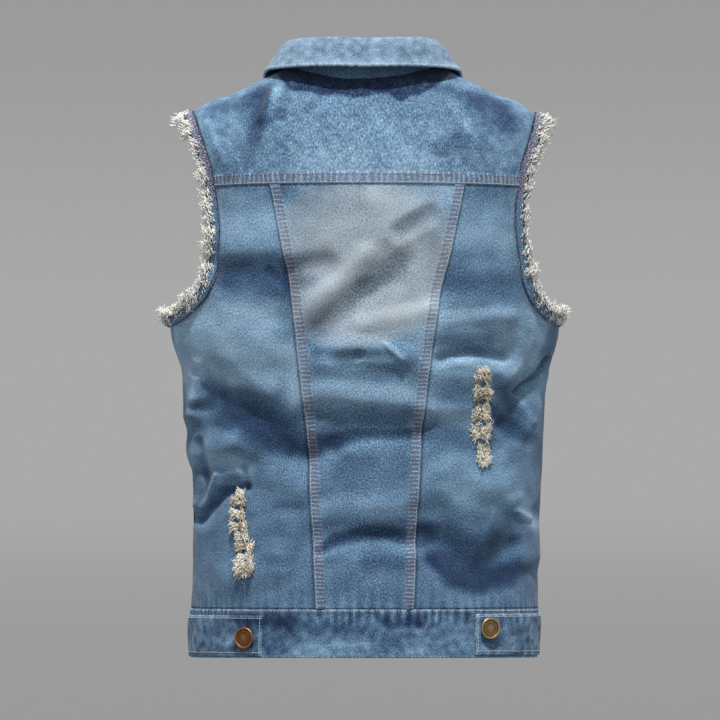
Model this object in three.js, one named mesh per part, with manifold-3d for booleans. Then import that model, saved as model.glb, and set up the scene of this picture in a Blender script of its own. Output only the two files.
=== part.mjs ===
// Denim vest: a sleeveless trucker jacket in its worn, hollow shape, with nobody in it.
// Millimetres, +Z up, +X to the wearer's right, +Y to the wearer's front.
// The origin lies between the shoulders, level with the side points of the neck seam.
// An angle runs round the body from the back centre, positive towards the wearer's right.
import * as THREE from 'three';
import Module from 'manifold-3d';

const wasm = await Module();
wasm.setup();

// Cloth and seams
const CLOTH = 1.3;
const SEAM_GAP = 0.3;
const FELL_WIDTH = 11;
const FELL_RISE = 0.7;
const FELL_STEP = 1.5;
const LAY_GAP = 0.4;

// Main heights of the vest, measured down from the neck
const HEM = -623;
const WAIST = -570;
const ARMPIT = -266;
const YOKE_SEAM = -122;
const FRONT_NECK = -62;
const BACK_NECK = -7;

// The back bends over to the shoulders above BACK_BEND, the front above FRONT_BEND
const BACK_BEND = -112;
const FRONT_BEND = -220;
const FRONT_BEND_POWER = 1.3;

// Cross-sections are rounded rectangles of this power: 2 would be an ellipse
const SECTION_POWER = 2.2;
const SECTIONS = [
  { height: -623, left: 186, right: 187, back: 117, front: 114, rise: 8 },
  { height: -570, left: 184, right: 188, back: 114, front: 112, rise: 6 },
  { height: -502, left: 184, right: 188, back: 108, front: 110, rise: 3 },
  { height: -454, left: 184, right: 191, back: 105, front: 110, rise: 1 },
  { height: -400, left: 187, right: 193, back: 104, front: 112, rise: 0 },
  { height: -346, left: 192, right: 197, back: 107, front: 115, rise: 0 },
  { height: -310, left: 195, right: 201, back: 111, front: 117, rise: 0 },
  { height: -266, left: 209, right: 211, back: 115, front: 118, rise: 0 },
  { height: -190, left: 207, right: 209, back: 118, front: 116, rise: 2 },
  { height: -112, left: 205, right: 208, back: 116, front: 110, rise: 5 },
  { height: 0, left: 205, right: 207, back: 112, front: 100, rise: 0 },
];

// The shoulder line, from the middle of the neck out to the arm
const SHOULDER_TIP = 183;
const SHOULDER = [
  { across: 0, height: 26, forward: -20 },
  { across: 50, height: 22, forward: -20 },
  { across: 82, height: 12, forward: -20 },
  { across: 105, height: 0, forward: -19 },
  { across: 140, height: -16.5, forward: -17 },
  { across: 165, height: -25, forward: -15 },
  { across: 183, height: -36, forward: -14 },
  { across: 215, height: -52, forward: -13 },
];

// Armhole seam: how far out it lies at each height, on the back
const ARMHOLE = [
  { height: -266, left: 209, right: 211 },
  { height: -263, left: 199, right: 203 },
  { height: -256, left: 187, right: 191 },
  { height: -246, left: 175, right: 182 },
  { height: -234, left: 165, right: 174 },
  { height: -216, left: 158, right: 168 },
  { height: -196, left: 154, right: 165 },
  { height: -168, left: 151, right: 161 },
  { height: -140, left: 154, right: 161.5 },
  { height: -121, left: 157, right: 164.5 },
  { height: -100, left: 160, right: 167 },
  { height: -83, left: 165, right: 173 },
  { height: -60, left: 173, right: 180 },
  { height: -36, left: 183, right: 186 },
  { height: -20, left: 190, right: 192 },
];
// The front is cut further in: the inset fades in over the armpit and out towards the shoulder
const ARMHOLE_FRONT_INSET = 8;
const INSET_FADE_LOW = 40;
const INSET_FADE_HIGH = 60;
const ARMHOLE_PASSES = 6;

// Princess seams between the back centre panel and the side panels
const PRINCESS = [
  { height: -570, left: 50, right: 54 },
  { height: -422, left: 58, right: 60.5 },
  { height: -352, left: 63.5, right: 66 },
  { height: -297, left: 69.5, right: 72.5 },
  { height: -239, left: 76, right: 81 },
  { height: -199, left: 83, right: 91 },
  { height: -121, left: 99, right: 108 },
];

// Largest folds: a soft trough (negative depth) or ridge from one point to another
const BACK_FOLDS = [
  { x1: -85, z1: -14, x2: -90, z2: -42, wide: 14, depth: -4 },
  { x1: -94, z1: -18, x2: -108, z2: -40, wide: 13, depth: 3 },
  { x1: -114, z1: -26, x2: -124, z2: -84, wide: 19, depth: -4 },
  { x1: -170, z1: -58, x2: -147, z2: -98, wide: 20, depth: 3 },
  { x1: 85, z1: -55, x2: 100, z2: -85, wide: 28, depth: -4 },
  { x1: 70, z1: -145, x2: 38, z2: -164, wide: 15, depth: -4 },
  { x1: 34, z1: -192, x2: -45, z2: -262, wide: 32, depth: -6 },
  { x1: 60, z1: -177, x2: 78, z2: -222, wide: 26, depth: -5 },
  { x1: -74, z1: -204, x2: -38, z2: -200, wide: 24, depth: -4 },
  { x1: -22, z1: -282, x2: 40, z2: -292, wide: 20, depth: 4 },
  { x1: -52, z1: -358, x2: 56, z2: -366, wide: 30, depth: -7 },
  { x1: -56, z1: -404, x2: -28, z2: -378, wide: 22, depth: -4 },
  { x1: -45, z1: -481, x2: 44, z2: -479, wide: 24, depth: -5 },
  { x1: -148, z1: -203, x2: -92, z2: -198, wide: 24, depth: -5 },
  { x1: -158, z1: -318, x2: -122, z2: -346, wide: 30, depth: -7 },
  { x1: -98, z1: -362, x2: -60, z2: -402, wide: 34, depth: -7 },
  { x1: -178, z1: -312, x2: -184, z2: -360, wide: 18, depth: 4 },
  { x1: -176, z1: -392, x2: -118, z2: -380, wide: 26, depth: 5 },
  { x1: -173, z1: -400, x2: -171, z2: -445, wide: 17, depth: -5 },
  { x1: -172, z1: -466, x2: -136, z2: -432, wide: 17, depth: -5 },
  { x1: -140, z1: -520, x2: -90, z2: -505, wide: 30, depth: 3 },
  { x1: 84, z1: -286, x2: 152, z2: -284, wide: 26, depth: -5 },
  { x1: 72, z1: -366, x2: 112, z2: -364, wide: 22, depth: -5 },
  { x1: 140, z1: -384, x2: 178, z2: -330, wide: 24, depth: -7 },
  { x1: 190, z1: -298, x2: 168, z2: -334, wide: 18, depth: -5 },
  { x1: 68, z1: -462, x2: 108, z2: -528, wide: 34, depth: -7 },
  { x1: 164, z1: -470, x2: 138, z2: -526, wide: 28, depth: -6 },
  { x1: 164, z1: -458, x2: 182, z2: -510, wide: 22, depth: 4 },
  { x1: 100, z1: -225, x2: 150, z2: -240, wide: 28, depth: 4 },
  { x1: 88, z1: -410, x2: 150, z2: -425, wide: 28, depth: 4 },
];
const FRONT_FOLDS = [
  { x1: -150, z1: -215, x2: -70, z2: -175, wide: 28, depth: -5 },
  { x1: 150, z1: -220, x2: 75, z2: -170, wide: 30, depth: -5 },
  { x1: -165, z1: -330, x2: -60, z2: -385, wide: 32, depth: -7 },
  { x1: 168, z1: -345, x2: 64, z2: -372, wide: 30, depth: -6 },
  { x1: -60, z1: -440, x2: -130, z2: -505, wide: 32, depth: -6 },
  { x1: 58, z1: -452, x2: 140, z2: -498, wide: 34, depth: -7 },
  { x1: -150, z1: -415, x2: -100, z2: -420, wide: 26, depth: 4 },
  { x1: 90, z1: -300, x2: 145, z2: -290, wide: 28, depth: 4 },
];

// Neck and collar: reach from the middle of the neck, by the angle round it in degrees
const NECK_HALF_WIDTH = 82;
const NECK_MIDDLE_Y = -8;
const COLLAR_CLOTH = 2.4;
const STAND_CLOTH = 1.8;
const COLLAR_LIFT = 4;
const COLLAR_FRONT_END = 1.5;
const STAND_INSET = 0.75;
const STAND_ROWS = 3;
const LEAF_ROWS = 5;
// The leaf starts over the stand, turns over this far out and up, and rests on the front
const LEAF_CLEAR = 1.2;
const LEAF_TURN_OUT = 5;
const LEAF_TURN_UP = 8;
const FOLD_DROP = 5;
const LEAF_REST_FROM = -10;
const LEAF_REST_OVER = 25;
const SEARCH_PASSES = 30;
const COLLAR = [
  { angle: 0, foldOut: 63, foldHeight: 40, edgeAngle: 0, edgeOut: 90, edgeHeight: 7, bulge: 1 },
  { angle: 30, foldOut: 70, foldHeight: 41, edgeAngle: 29, edgeOut: 97, edgeHeight: 8, bulge: 1 },
  { angle: 60, foldOut: 78, foldHeight: 41, edgeAngle: 58, edgeOut: 106, edgeHeight: 8, bulge: 1 },
  { angle: 90, foldOut: 76, foldHeight: 39, edgeAngle: 86, edgeOut: 106, edgeHeight: 6, bulge: 2 },
  { angle: 120, foldOut: 75, foldHeight: 22, edgeAngle: 108, edgeOut: 111, edgeHeight: -8, bulge: 6 },
  { angle: 150, foldOut: 70, foldHeight: -10, edgeAngle: 132, edgeOut: 112, edgeHeight: -40, bulge: 7 },
  { angle: 180, foldOut: 66, foldHeight: -32, edgeAngle: 154, edgeOut: 106, edgeHeight: -80, bulge: 6 },
];

// Closure on the front: the wearer's left laps over the right
const PLACKET_HALF = 16;
const PLACKET_LEFT_FROM = -26;
const PLACKET_LEFT_TO = 15;
const PLACKET_CLOTH = 1.6;
const BUTTON_SIDES = 12;
const BUTTON_PROFILE = [
  { radius: 0, height: 0 },
  { radius: 3.4, height: 0 },
  { radius: 3.4, height: 1.6 },
  { radius: 9.9, height: 2 },
  { radius: 11.5, height: 3.1 },
  { radius: 10.35, height: 4.2 },
  { radius: 8.05, height: 3.5 },
  { radius: 0, height: 3.8 },
];
const BUTTON_X = -5;
const BUTTON_HEIGHTS = [-88, -168, -248, -328, -408, -488, -596];

// Waistband and its tabs: the tabs run in from the side seams
const BAND_RISE = 0.6;
const BAND_LAP_STEP = 15;
const BAND_ROW_SHARES = [0, 0.33, 0.67, 1];
const TAB_CLOTH = 2.2;
const TAB_ROWS = [17.5, 35];
const TAB_SHORTEST_FACET = 0.15;
const TABS = [
  { side: 'left', sign: -1, end: 105, belowSeam: 7, aboveHem: 1.5, buttonX: 124, buttonZ: -596 },
  { side: 'right', sign: 1, end: 118, belowSeam: 5, aboveHem: 3, buttonX: 133, buttonZ: -586 },
];

// Armhole band and fray: both flare out from the body, most below FLARE_FROM
const ARM_BAND_WIDTH = 10;
const ARM_BAND_CLOTH = 2.2;
const ARM_FLARE = 0.1;
const ARMPIT_FLARE = 0.45;
const FLARE_FROM = -200;
const FLARE_OVER = 60;
const FRAY_GAP = 0.6;
const FRAY_STRIP_WIDTH = 2.6;
const FRAY_STRIP_CLOTH = 3;
const FRAY_LOCKS = 80;
const FRAY_LENGTH = 12;
const FRAY_THICK = 1.35;
const FRAY_SEEDS = { left: 7, right: 19 };

// Rips, one in each back side panel, as frayed yarn that stands on the cloth
const RIPS = [
  {
    side: 'left',
    rows: [
      { height: -441, x: -131, width: 9 },
      { height: -452, x: -132, width: 17 },
      { height: -466, x: -132, width: 15 },
      { height: -480, x: -131, width: 17 },
      { height: -491, x: -127, width: 14 },
      { height: -503, x: -124, width: 19 },
      { height: -516, x: -123, width: 16 },
      { height: -527, x: -123, width: 21 },
      { height: -537, x: -124, width: 12 },
    ],
  },
  {
    side: 'right',
    rows: [
      { height: -308, x: 127, width: 11 },
      { height: -317, x: 127, width: 17 },
      { height: -327, x: 127, width: 12 },
      { height: -340, x: 127.5, width: 20 },
      { height: -352, x: 127, width: 15 },
      { height: -363, x: 127, width: 19 },
      { height: -372, x: 126, width: 14 },
      { height: -383, x: 125, width: 22 },
      { height: -396, x: 128, width: 14 },
      { height: -408, x: 128.5, width: 17 },
      { height: -418, x: 129, width: 12 },
    ],
  },
];
const RIP_BASE = 0.7;
const RIP_THICK = 2.6;
const RIP_WAIST = 0.6;
const RIP_NARROWING = 0.9;
const RIP_ACROSS = [
  { share: -0.5, crown: 0.35 },
  { share: -0.2, crown: 1 },
  { share: 0.2, crown: 1 },
  { share: 0.5, crown: 0.35 },
];

// Mesh spacing
const CENTRE_USUAL_WIDTH = 170;
const CENTRE_COLUMNS = 9;
const SIDE_COLUMNS = 7;
const SHOULDER_COLUMNS = 4;
const FRONT_NECK_COLUMNS = 6;
const LOWER_ROWS = 12;
const UPPER_ROW_HEIGHTS = [-266, -257, -246, -234, -216, -196, -168, -144, YOKE_SEAM];
const FRONT_UPPER_SHARES = [0, 0.035, 0.075, 0.12, 0.19, 0.28, 0.4, 0.54, 0.7, 0.85, 1];
const YOKE_ROWS = 7;

const COLOURS = {
  denim: { color: 0x5f7f9d, roughness: 0.9, metalness: 0 },
  fadedDenim: { color: 0x8ea2b0, roughness: 0.9, metalness: 0 },
  yarn: { color: 0xd9d6cb, roughness: 1, metalness: 0 },
  brass: { color: 0x8f7550, roughness: 0.4, metalness: 1 },
};

const lerp = (a, b, t) => a + (b - a) * t;
const clamp01 = (t) => Math.min(1, Math.max(0, t));
const signedPower = (value, power) => Math.sign(value) * Math.abs(value) ** power;
const quarterTurn = Math.PI / 2;

// Smooth reading of a table: a cubic through its rows, level with the slope of its neighbours
function readTable(table, key, at, column) {
  const up = table[1][key] > table[0][key];
  const rows = up ? table : [...table].reverse();
  const last = rows.length - 1;
  if (at <= rows[0][key]) return rows[0][column];
  if (at >= rows[last][key]) return rows[last][column];
  const k = rows.findIndex((row, i) => i < last && at <= rows[i + 1][key]);
  const slope = (i) => {
    const low = rows[Math.max(0, i - 1)];
    const high = rows[Math.min(last, i + 1)];
    return (high[column] - low[column]) / (high[key] - low[key]);
  };
  const step = rows[k + 1][key] - rows[k][key];
  const t = (at - rows[k][key]) / step;
  const h00 = (1 + 2 * t) * (1 - t) ** 2;
  const h10 = t * (1 - t) ** 2;
  const h01 = t * t * (3 - 2 * t);
  const h11 = t * t * (t - 1);
  return h00 * rows[k][column] + h10 * step * slope(k)
    + h01 * rows[k + 1][column] + h11 * step * slope(k + 1);
}

const sideOf = (value) => (value < 0 ? 'left' : 'right');
const halfWidth = (height, side) => readTable(SECTIONS, 'height', height, side);
const isBack = (angle) => Math.cos(angle) >= 0;
const bendOf = (angle) => (isBack(angle) ? BACK_BEND : FRONT_BEND);

// Height of the cloth over a point of the shoulder slope, where the bend starts at base
function bentHeight(x, height, base) {
  const turn = quarterTurn * (height / base);
  return base + (readTable(SHOULDER, 'across', Math.abs(x), 'height') - base) * Math.cos(turn);
}

// The smooth body of the vest, before its folds
function bodyPoint(angle, height) {
  const s = Math.sin(angle);
  const c = Math.cos(angle);
  const x = halfWidth(height, sideOf(s)) * signedPower(s, 2 / SECTION_POWER);
  const depth = readTable(SECTIONS, 'height', height, c >= 0 ? 'back' : 'front');
  const y = -depth * signedPower(c, 2 / SECTION_POWER);
  const rise = readTable(SECTIONS, 'height', height, 'rise') * c;
  const base = bendOf(angle);
  if (height <= base) return new THREE.Vector3(x, y, height + rise);
  const turn = quarterTurn * (height / base);
  const ridgeY = readTable(SHOULDER, 'across', Math.abs(x), 'forward');
  const power = isBack(angle) ? 1 : FRONT_BEND_POWER;
  return new THREE.Vector3(
    x,
    ridgeY + (y - ridgeY) * Math.sin(turn) ** power,
    bentHeight(x, height, base) + rise,
  );
}

// Outward direction of a surface that is given by a function of angle and height
function normalOf(surface, angle, height) {
  const da = 0.02;
  const dh = 3;
  const along = surface(angle + da, height).sub(surface(angle - da, height));
  if (height > -0.5) return along.cross(new THREE.Vector3(0, 1, 0)).normalize()
    .multiplyScalar(isBack(angle) ? 1 : -1);
  const up = surface(angle, Math.min(0, height + dh)).sub(surface(angle, height - dh));
  return along.cross(up).normalize();
}

// Height of all folds together at a point of the back or the front
function foldAt(x, z, back) {
  let sum = 0;
  for (const fold of back ? BACK_FOLDS : FRONT_FOLDS) {
    const dx = fold.x2 - fold.x1;
    const dz = fold.z2 - fold.z1;
    const t = clamp01(((x - fold.x1) * dx + (z - fold.z1) * dz) / (dx * dx + dz * dz));
    const away = Math.hypot(x - fold.x1 - dx * t, z - fold.z1 - dz * t) / fold.wide;
    if (away < 1) sum += fold.depth * (1 - away * away) ** 2;
  }
  return sum;
}

// The outer face of the cloth
function clothPoint(angle, height) {
  const point = bodyPoint(angle, height);
  const depth = foldAt(point.x, point.z, isBack(angle));
  if (depth === 0) return point;
  return point.addScaledVector(normalOf(bodyPoint, angle, height), depth);
}

const clothVertex = (angle, height) => ({
  point: clothPoint(angle, height),
  normal: normalOf(clothPoint, angle, height),
});

// Angle round the body of the point that lies x from the middle
function angleAt(x, height, back) {
  const share = Math.min(1, Math.abs(x) / halfWidth(height, sideOf(x)));
  const angle = Math.sign(x) * Math.asin(share ** (SECTION_POWER / 2));
  return back ? angle : Math.sign(x) * Math.PI - angle;
}

// The same on the front close to the middle, where x may be 0
const frontAngle = (x, height) => angleAt(x === 0 ? 0.001 : x, height, false);

// Height coordinate of the point that lies at a real height on the bent part
function heightAt(x, z, back) {
  const base = back ? BACK_BEND : FRONT_BEND;
  if (z <= base) return z;
  const ridge = readTable(SHOULDER, 'across', Math.abs(x), 'height');
  return (Math.acos(clamp01((z - base) / (ridge - base))) / quarterTurn) * base;
}

// Angle of the armhole seam at a height coordinate
function armholeAngle(height, sign, back) {
  if (height <= ARMPIT) return sign * quarterTurn;
  const side = sideOf(sign);
  const base = back ? BACK_BEND : FRONT_BEND;
  const low = clamp01((height - ARMPIT) / INSET_FADE_LOW);
  const high = clamp01(-height / INSET_FADE_HIGH);
  const inset = back ? 0 : ARMHOLE_FRONT_INSET * low * high;
  let x = readTable(ARMHOLE, 'height', height, side);
  for (let pass = 0; pass < ARMHOLE_PASSES; pass += 1) {
    const z = height <= base ? height : bentHeight(x, height, base);
    x = readTable(ARMHOLE, 'height', z, side);
  }
  return angleAt(sign * (x - inset), height, back);
}

// Neck seam: its height at a distance from the middle, on the back and on the front
function neckHeight(x, back) {
  const side = readTable(SHOULDER, 'across', NECK_HALF_WIDTH, 'height');
  const share = Math.min(1, Math.abs(x) / NECK_HALF_WIDTH);
  if (back) return lerp(BACK_NECK, side, share ** 2);
  return lerp(side, FRONT_NECK, Math.sqrt(1 - share ** 2));
}

const lowerHeights = Array.from(
  { length: LOWER_ROWS },
  (_, j) => lerp(WAIST, ARMPIT, j / LOWER_ROWS),
);
const backHeights = [...lowerHeights, ...UPPER_ROW_HEIGHTS];

// Shares across the centre panel, with close columns at each felled seam
function centreShares() {
  const fell = FELL_WIDTH / CENTRE_USUAL_WIDTH;
  const step = (FELL_WIDTH + FELL_STEP) / CENTRE_USUAL_WIDTH;
  const inner = Array.from({ length: CENTRE_COLUMNS - 1 }, (_, i) => i / (CENTRE_COLUMNS - 2));
  return [0, fell, ...inner.map((share) => lerp(step, 1 - step, share)), 1 - fell, 1];
}
const centreAcross = centreShares();
const sideAcross = Array.from({ length: SIDE_COLUMNS + 1 }, (_, i) => i / SIDE_COLUMNS);

const princessAngle = (height, sign) => angleAt(
  sign * readTable(PRINCESS, 'height', height, sideOf(sign)),
  height,
  true,
);

// Angles of the back columns at one height: left side panel, centre panel, right side panel
function centreAngles(height) {
  const from = princessAngle(height, -1);
  const to = princessAngle(height, 1);
  return centreAcross.map((share) => lerp(from, to, share));
}
function sideAngles(height, sign) {
  const from = princessAngle(height, sign);
  const to = armholeAngle(height, sign, true);
  return sideAcross.map((share) => lerp(from, to, share));
}

// Front columns: shares from the placket to the side, with the neck point at a column
const frontColumns = FRONT_NECK_COLUMNS + SHOULDER_COLUMNS;
function frontTopX(i, sign) {
  const tipHeight = readTable(SHOULDER, 'across', SHOULDER_TIP, 'height');
  const tip = readTable(ARMHOLE, 'height', tipHeight, sideOf(sign));
  if (i <= FRONT_NECK_COLUMNS) {
    const turn = quarterTurn * (i / FRONT_NECK_COLUMNS) ** 0.8;
    return lerp(PLACKET_HALF, NECK_HALF_WIDTH, Math.sin(turn) ** 0.9);
  }
  return lerp(NECK_HALF_WIDTH, tip, (i - FRONT_NECK_COLUMNS) / SHOULDER_COLUMNS);
}

// Grid of vertices in columns: grid[i][j], i across and j up
function insetGrid(grid) {
  const columns = grid.length - 1;
  const rows = grid[0].length - 1;
  const copy = grid.map((column) => column.map(
    (vertex) => ({ ...vertex, point: vertex.point.clone() }),
  ));
  const at = (i, j) => grid[Math.min(columns, Math.max(0, i))][Math.min(rows, Math.max(0, j))].point;
  const pull = (i, j, inner, before, after) => {
    const edge = after.clone().sub(before).normalize();
    const inward = inner.clone().sub(grid[i][j].point);
    inward.addScaledVector(edge, -inward.dot(edge)).normalize();
    copy[i][j].point.addScaledVector(inward, SEAM_GAP / 2);
  };
  for (let j = 0; j <= rows; j += 1) {
    for (const [i, inner] of [[0, 1], [columns, columns - 1]]) {
      pull(i, j, at(inner, j), at(i, j - 1), at(i, j + 1));
    }
  }
  for (let i = 0; i <= columns; i += 1) {
    for (const [j, inner] of [[0, 1], [rows, rows - 1]]) {
      pull(i, j, at(i, inner), at(i - 1, j), at(i + 1, j));
    }
  }
  return copy;
}

// Closed wall over a grid: its outer face is raised by rise, its inner face lies thick below
function wallGeometry(grid, thick, ring = false) {
  const columns = grid.length;
  const rows = grid[0].length;
  const positions = [];
  for (const offset of [0, 1]) {
    for (const column of grid) {
      for (const vertex of column) {
        const out = offset === 0 ? vertex.rise ?? 0 : -(vertex.thick ?? thick);
        positions.push(...vertex.point.clone().addScaledVector(vertex.normal, out).toArray());
      }
    }
  }
  const size = columns * rows;
  const outer = (i, j) => (i % columns) * rows + j;
  const inner = (i, j) => size + outer(i, j);
  const faces = [];
  const quad = (a, b, c, d) => faces.push(a, b, c, a, c, d);
  const spans = ring ? columns : columns - 1;
  for (let i = 0; i < spans; i += 1) {
    for (let j = 0; j < rows - 1; j += 1) {
      quad(outer(i, j), outer(i + 1, j), outer(i + 1, j + 1), outer(i, j + 1));
      quad(inner(i, j), inner(i, j + 1), inner(i + 1, j + 1), inner(i + 1, j));
    }
    quad(outer(i + 1, 0), outer(i, 0), inner(i, 0), inner(i + 1, 0));
    quad(outer(i, rows - 1), outer(i + 1, rows - 1), inner(i + 1, rows - 1), inner(i, rows - 1));
  }
  for (let j = 0; !ring && j < rows - 1; j += 1) {
    quad(outer(0, j), outer(0, j + 1), inner(0, j + 1), inner(0, j));
    const end = columns - 1;
    quad(outer(end, j + 1), outer(end, j), inner(end, j), inner(end, j + 1));
  }
  return closedGeometry(positions, faces);
}

function closedGeometry(positions, faces) {
  const geometry = new THREE.BufferGeometry();
  geometry.setAttribute('position', new THREE.Float32BufferAttribute(positions, 3));
  geometry.setIndex(faces);
  return geometry;
}

// Faces must point out: a geometry with negative volume is turned inside out
function faceOut(geometry) {
  const p = geometry.attributes.position;
  const index = geometry.index.array;
  let volume = 0;
  const [a, b, c] = [new THREE.Vector3(), new THREE.Vector3(), new THREE.Vector3()];
  for (let k = 0; k < index.length; k += 3) {
    a.fromBufferAttribute(p, index[k]);
    b.fromBufferAttribute(p, index[k + 1]);
    c.fromBufferAttribute(p, index[k + 2]);
    volume += a.dot(b.cross(c));
  }
  if (volume < 0) {
    for (let k = 0; k < index.length; k += 3) {
      [index[k], index[k + 1]] = [index[k + 1], index[k]];
    }
  }
  return geometry;
}

const vest = new THREE.Group();
function addMesh(name, geometry, colour) {
  const mesh = new THREE.Mesh(faceOut(geometry), new THREE.MeshStandardMaterial(COLOURS[colour]));
  mesh.name = name;
  vest.add(mesh);
  return mesh;
}

// Back centre panel, with a felled seam down each side
const centreGrid = centreAcross.map((_, i) => backHeights.map((height) => {
  const felled = i <= 1 || i >= centreAcross.length - 2;
  return { ...clothVertex(centreAngles(height)[i], height), rise: felled ? FELL_RISE : 0 };
}));
addMesh('back_centre', wallGeometry(insetGrid(centreGrid), CLOTH), 'fadedDenim');

// Back side panels, from the princess seam to the side seam and the armhole
const sideGrids = {};
for (const sign of [-1, 1]) {
  const side = sideOf(sign);
  const grid = sideAcross.map((_, i) => backHeights.map(
    (height) => clothVertex(sideAngles(height, sign)[i], height),
  ));
  sideGrids[side] = insetGrid(sign < 0 ? grid.reverse() : grid);
  addMesh(`back_side_${side}`, wallGeometry(sideGrids[side], CLOTH), 'denim');
}

// Back yoke: its lower edge takes the columns of the three panels below it
const yokeBottom = [
  ...sideAngles(YOKE_SEAM, -1).reverse(),
  ...centreAngles(YOKE_SEAM).slice(1, -1),
  ...sideAngles(YOKE_SEAM, 1),
];
const yokeColumns = yokeBottom.length - 1;
function yokeTop(i) {
  const sign = i * 2 < yokeColumns ? -1 : 1;
  const fromTip = Math.min(i, yokeColumns - i);
  if (fromTip <= SHOULDER_COLUMNS) {
    const x = sign * frontTopX(frontColumns - fromTip, sign);
    return { angle: angleAt(x, 0, true), height: 0 };
  }
  const share = (i - SHOULDER_COLUMNS) / (yokeColumns - 2 * SHOULDER_COLUMNS);
  const x = lerp(-NECK_HALF_WIDTH, NECK_HALF_WIDTH, share);
  const height = heightAt(x, neckHeight(x, true), true);
  return { angle: angleAt(x, height, true), height };
}
const yokeShares = [0, FELL_WIDTH, FELL_WIDTH + FELL_STEP].map((mm) => mm / -YOKE_SEAM);
for (let k = 1; k <= YOKE_ROWS; k += 1) yokeShares.push(lerp(yokeShares[2], 1, k / YOKE_ROWS));
const yokeGrid = yokeBottom.map((bottom, i) => yokeShares.map((share, j) => {
  const top = yokeTop(i);
  const height = lerp(YOKE_SEAM, top.height, share);
  const edgeShift = (end, sign) => armholeAngle(lerp(YOKE_SEAM, 0, share), sign, true)
    - lerp(yokeBottom[end], yokeTop(end).angle, share);
  const shift = lerp(edgeShift(0, -1), edgeShift(yokeColumns, 1), i / yokeColumns);
  const angle = lerp(bottom, top.angle, share) + shift;
  return { ...clothVertex(angle, height), rise: j <= 1 ? FELL_RISE : 0 };
}));
addMesh('back_yoke', wallGeometry(insetGrid(yokeGrid), CLOTH), 'denim');

// Fronts, plain, from the placket to the side seam and up to the shoulder
const frontGrids = {};
function frontVertex(i, height, share, sign) {
  const bottomShare = i / frontColumns;
  const side = sign * quarterTurn;
  if (share === 0) {
    return clothVertex(lerp(angleAt(sign * PLACKET_HALF, height, false), side, bottomShare), height);
  }
  const armpitAngle = lerp(angleAt(sign * PLACKET_HALF, ARMPIT, false), side, bottomShare);
  const x = sign * frontTopX(i, sign);
  const topHeight = i >= FRONT_NECK_COLUMNS ? 0 : heightAt(x, neckHeight(x, false), false);
  const edge = armholeAngle(lerp(ARMPIT, 0, share), sign, false)
    - lerp(side, angleAt(sign * frontTopX(frontColumns, sign), 0, false), share);
  const here = lerp(ARMPIT, topHeight, share);
  const angle = lerp(armpitAngle, angleAt(x, topHeight, false), share) + edge * bottomShare;
  return clothVertex(i === 0 ? angleAt(sign * PLACKET_HALF, here, false) : angle, here);
}
for (const sign of [-1, 1]) {
  const side = sideOf(sign);
  const grid = Array.from({ length: frontColumns + 1 }, (_, i) => [
    ...lowerHeights.map((height) => frontVertex(i, height, 0, sign)),
    ...FRONT_UPPER_SHARES.map((share) => frontVertex(i, ARMPIT, share, sign)),
  ]);
  frontGrids[side] = grid;
  const ordered = insetGrid(sign > 0 ? [...grid].reverse() : grid);
  addMesh(`front_${side}`, wallGeometry(ordered, CLOTH), 'denim');
}

// Waistband in three pieces, joined at the side seams
const bandHeights = BAND_ROW_SHARES.map((share) => lerp(HEM, WAIST, share));
const bandVertex = (angle, height) => ({ ...clothVertex(angle, height), rise: BAND_RISE });
const bandAngles = [
  ...sideAngles(WAIST, -1).reverse(),
  ...centreAngles(WAIST).slice(1, -1),
  ...sideAngles(WAIST, 1),
];
const bandGrid = insetGrid(bandAngles.map(
  (angle) => bandHeights.map((height) => bandVertex(angle, height)),
));
addMesh('waistband_back', wallGeometry(bandGrid, CLOTH), 'denim');

// The left front band laps over the end of the right one
const bandLap = CLOTH + BAND_RISE + LAY_GAP;
const frontBandGrids = {};
for (const sign of [-1, 1]) {
  const lift = sign < 0 ? bandLap : 0;
  const lap = sign < 0 ? [PLACKET_HALF, 0, -PLACKET_HALF - 1] : [-PLACKET_HALF, 0];
  const columns = [
    ...lap.map((x) => bandHeights.map((height) => {
      const vertex = bandVertex(frontAngle(x, height), height);
      return { ...vertex, point: vertex.point.addScaledVector(vertex.normal, lift) };
    })),
    ...Array.from({ length: frontColumns + 1 }, (_, i) => bandHeights.map((height) => {
      const from = angleAt(sign * (sign < 0 ? PLACKET_HALF + BAND_LAP_STEP : PLACKET_HALF), height, false);
      return bandVertex(lerp(from, sign * quarterTurn, i / frontColumns), height);
    })),
  ];
  const grid = insetGrid(sign > 0 ? columns.reverse() : columns);
  frontBandGrids[sideOf(sign)] = grid;
  addMesh(`waistband_front_${sideOf(sign)}`, wallGeometry(grid, CLOTH), 'denim');
}

// Plackets: the right one joins its front edge to edge, the left one lies on top
function placketColumn(x, lift) {
  const shares = FRONT_UPPER_SHARES;
  const neck = heightAt(x, neckHeight(x, false), false);
  const heights = [...lowerHeights, ...shares.map((share) => lerp(ARMPIT, neck, share))];
  return heights.map((height) => {
    const vertex = clothVertex(frontAngle(x, height), height);
    return { ...vertex, point: vertex.point.addScaledVector(vertex.normal, lift) };
  });
}
const rightPlacket = [PLACKET_HALF, 0, -PLACKET_HALF].map((x) => placketColumn(x, 0));
addMesh('placket_right', wallGeometry(insetGrid(rightPlacket), CLOTH), 'denim');
const leftPlacket = [PLACKET_LEFT_TO, 0, -PLACKET_HALF, PLACKET_LEFT_FROM]
  .map((x) => placketColumn(x, LAY_GAP + PLACKET_CLOTH));
const leftPlacketGrid = insetGrid(leftPlacket);
addMesh('placket_left', wallGeometry(leftPlacketGrid, PLACKET_CLOTH), 'denim');

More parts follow.
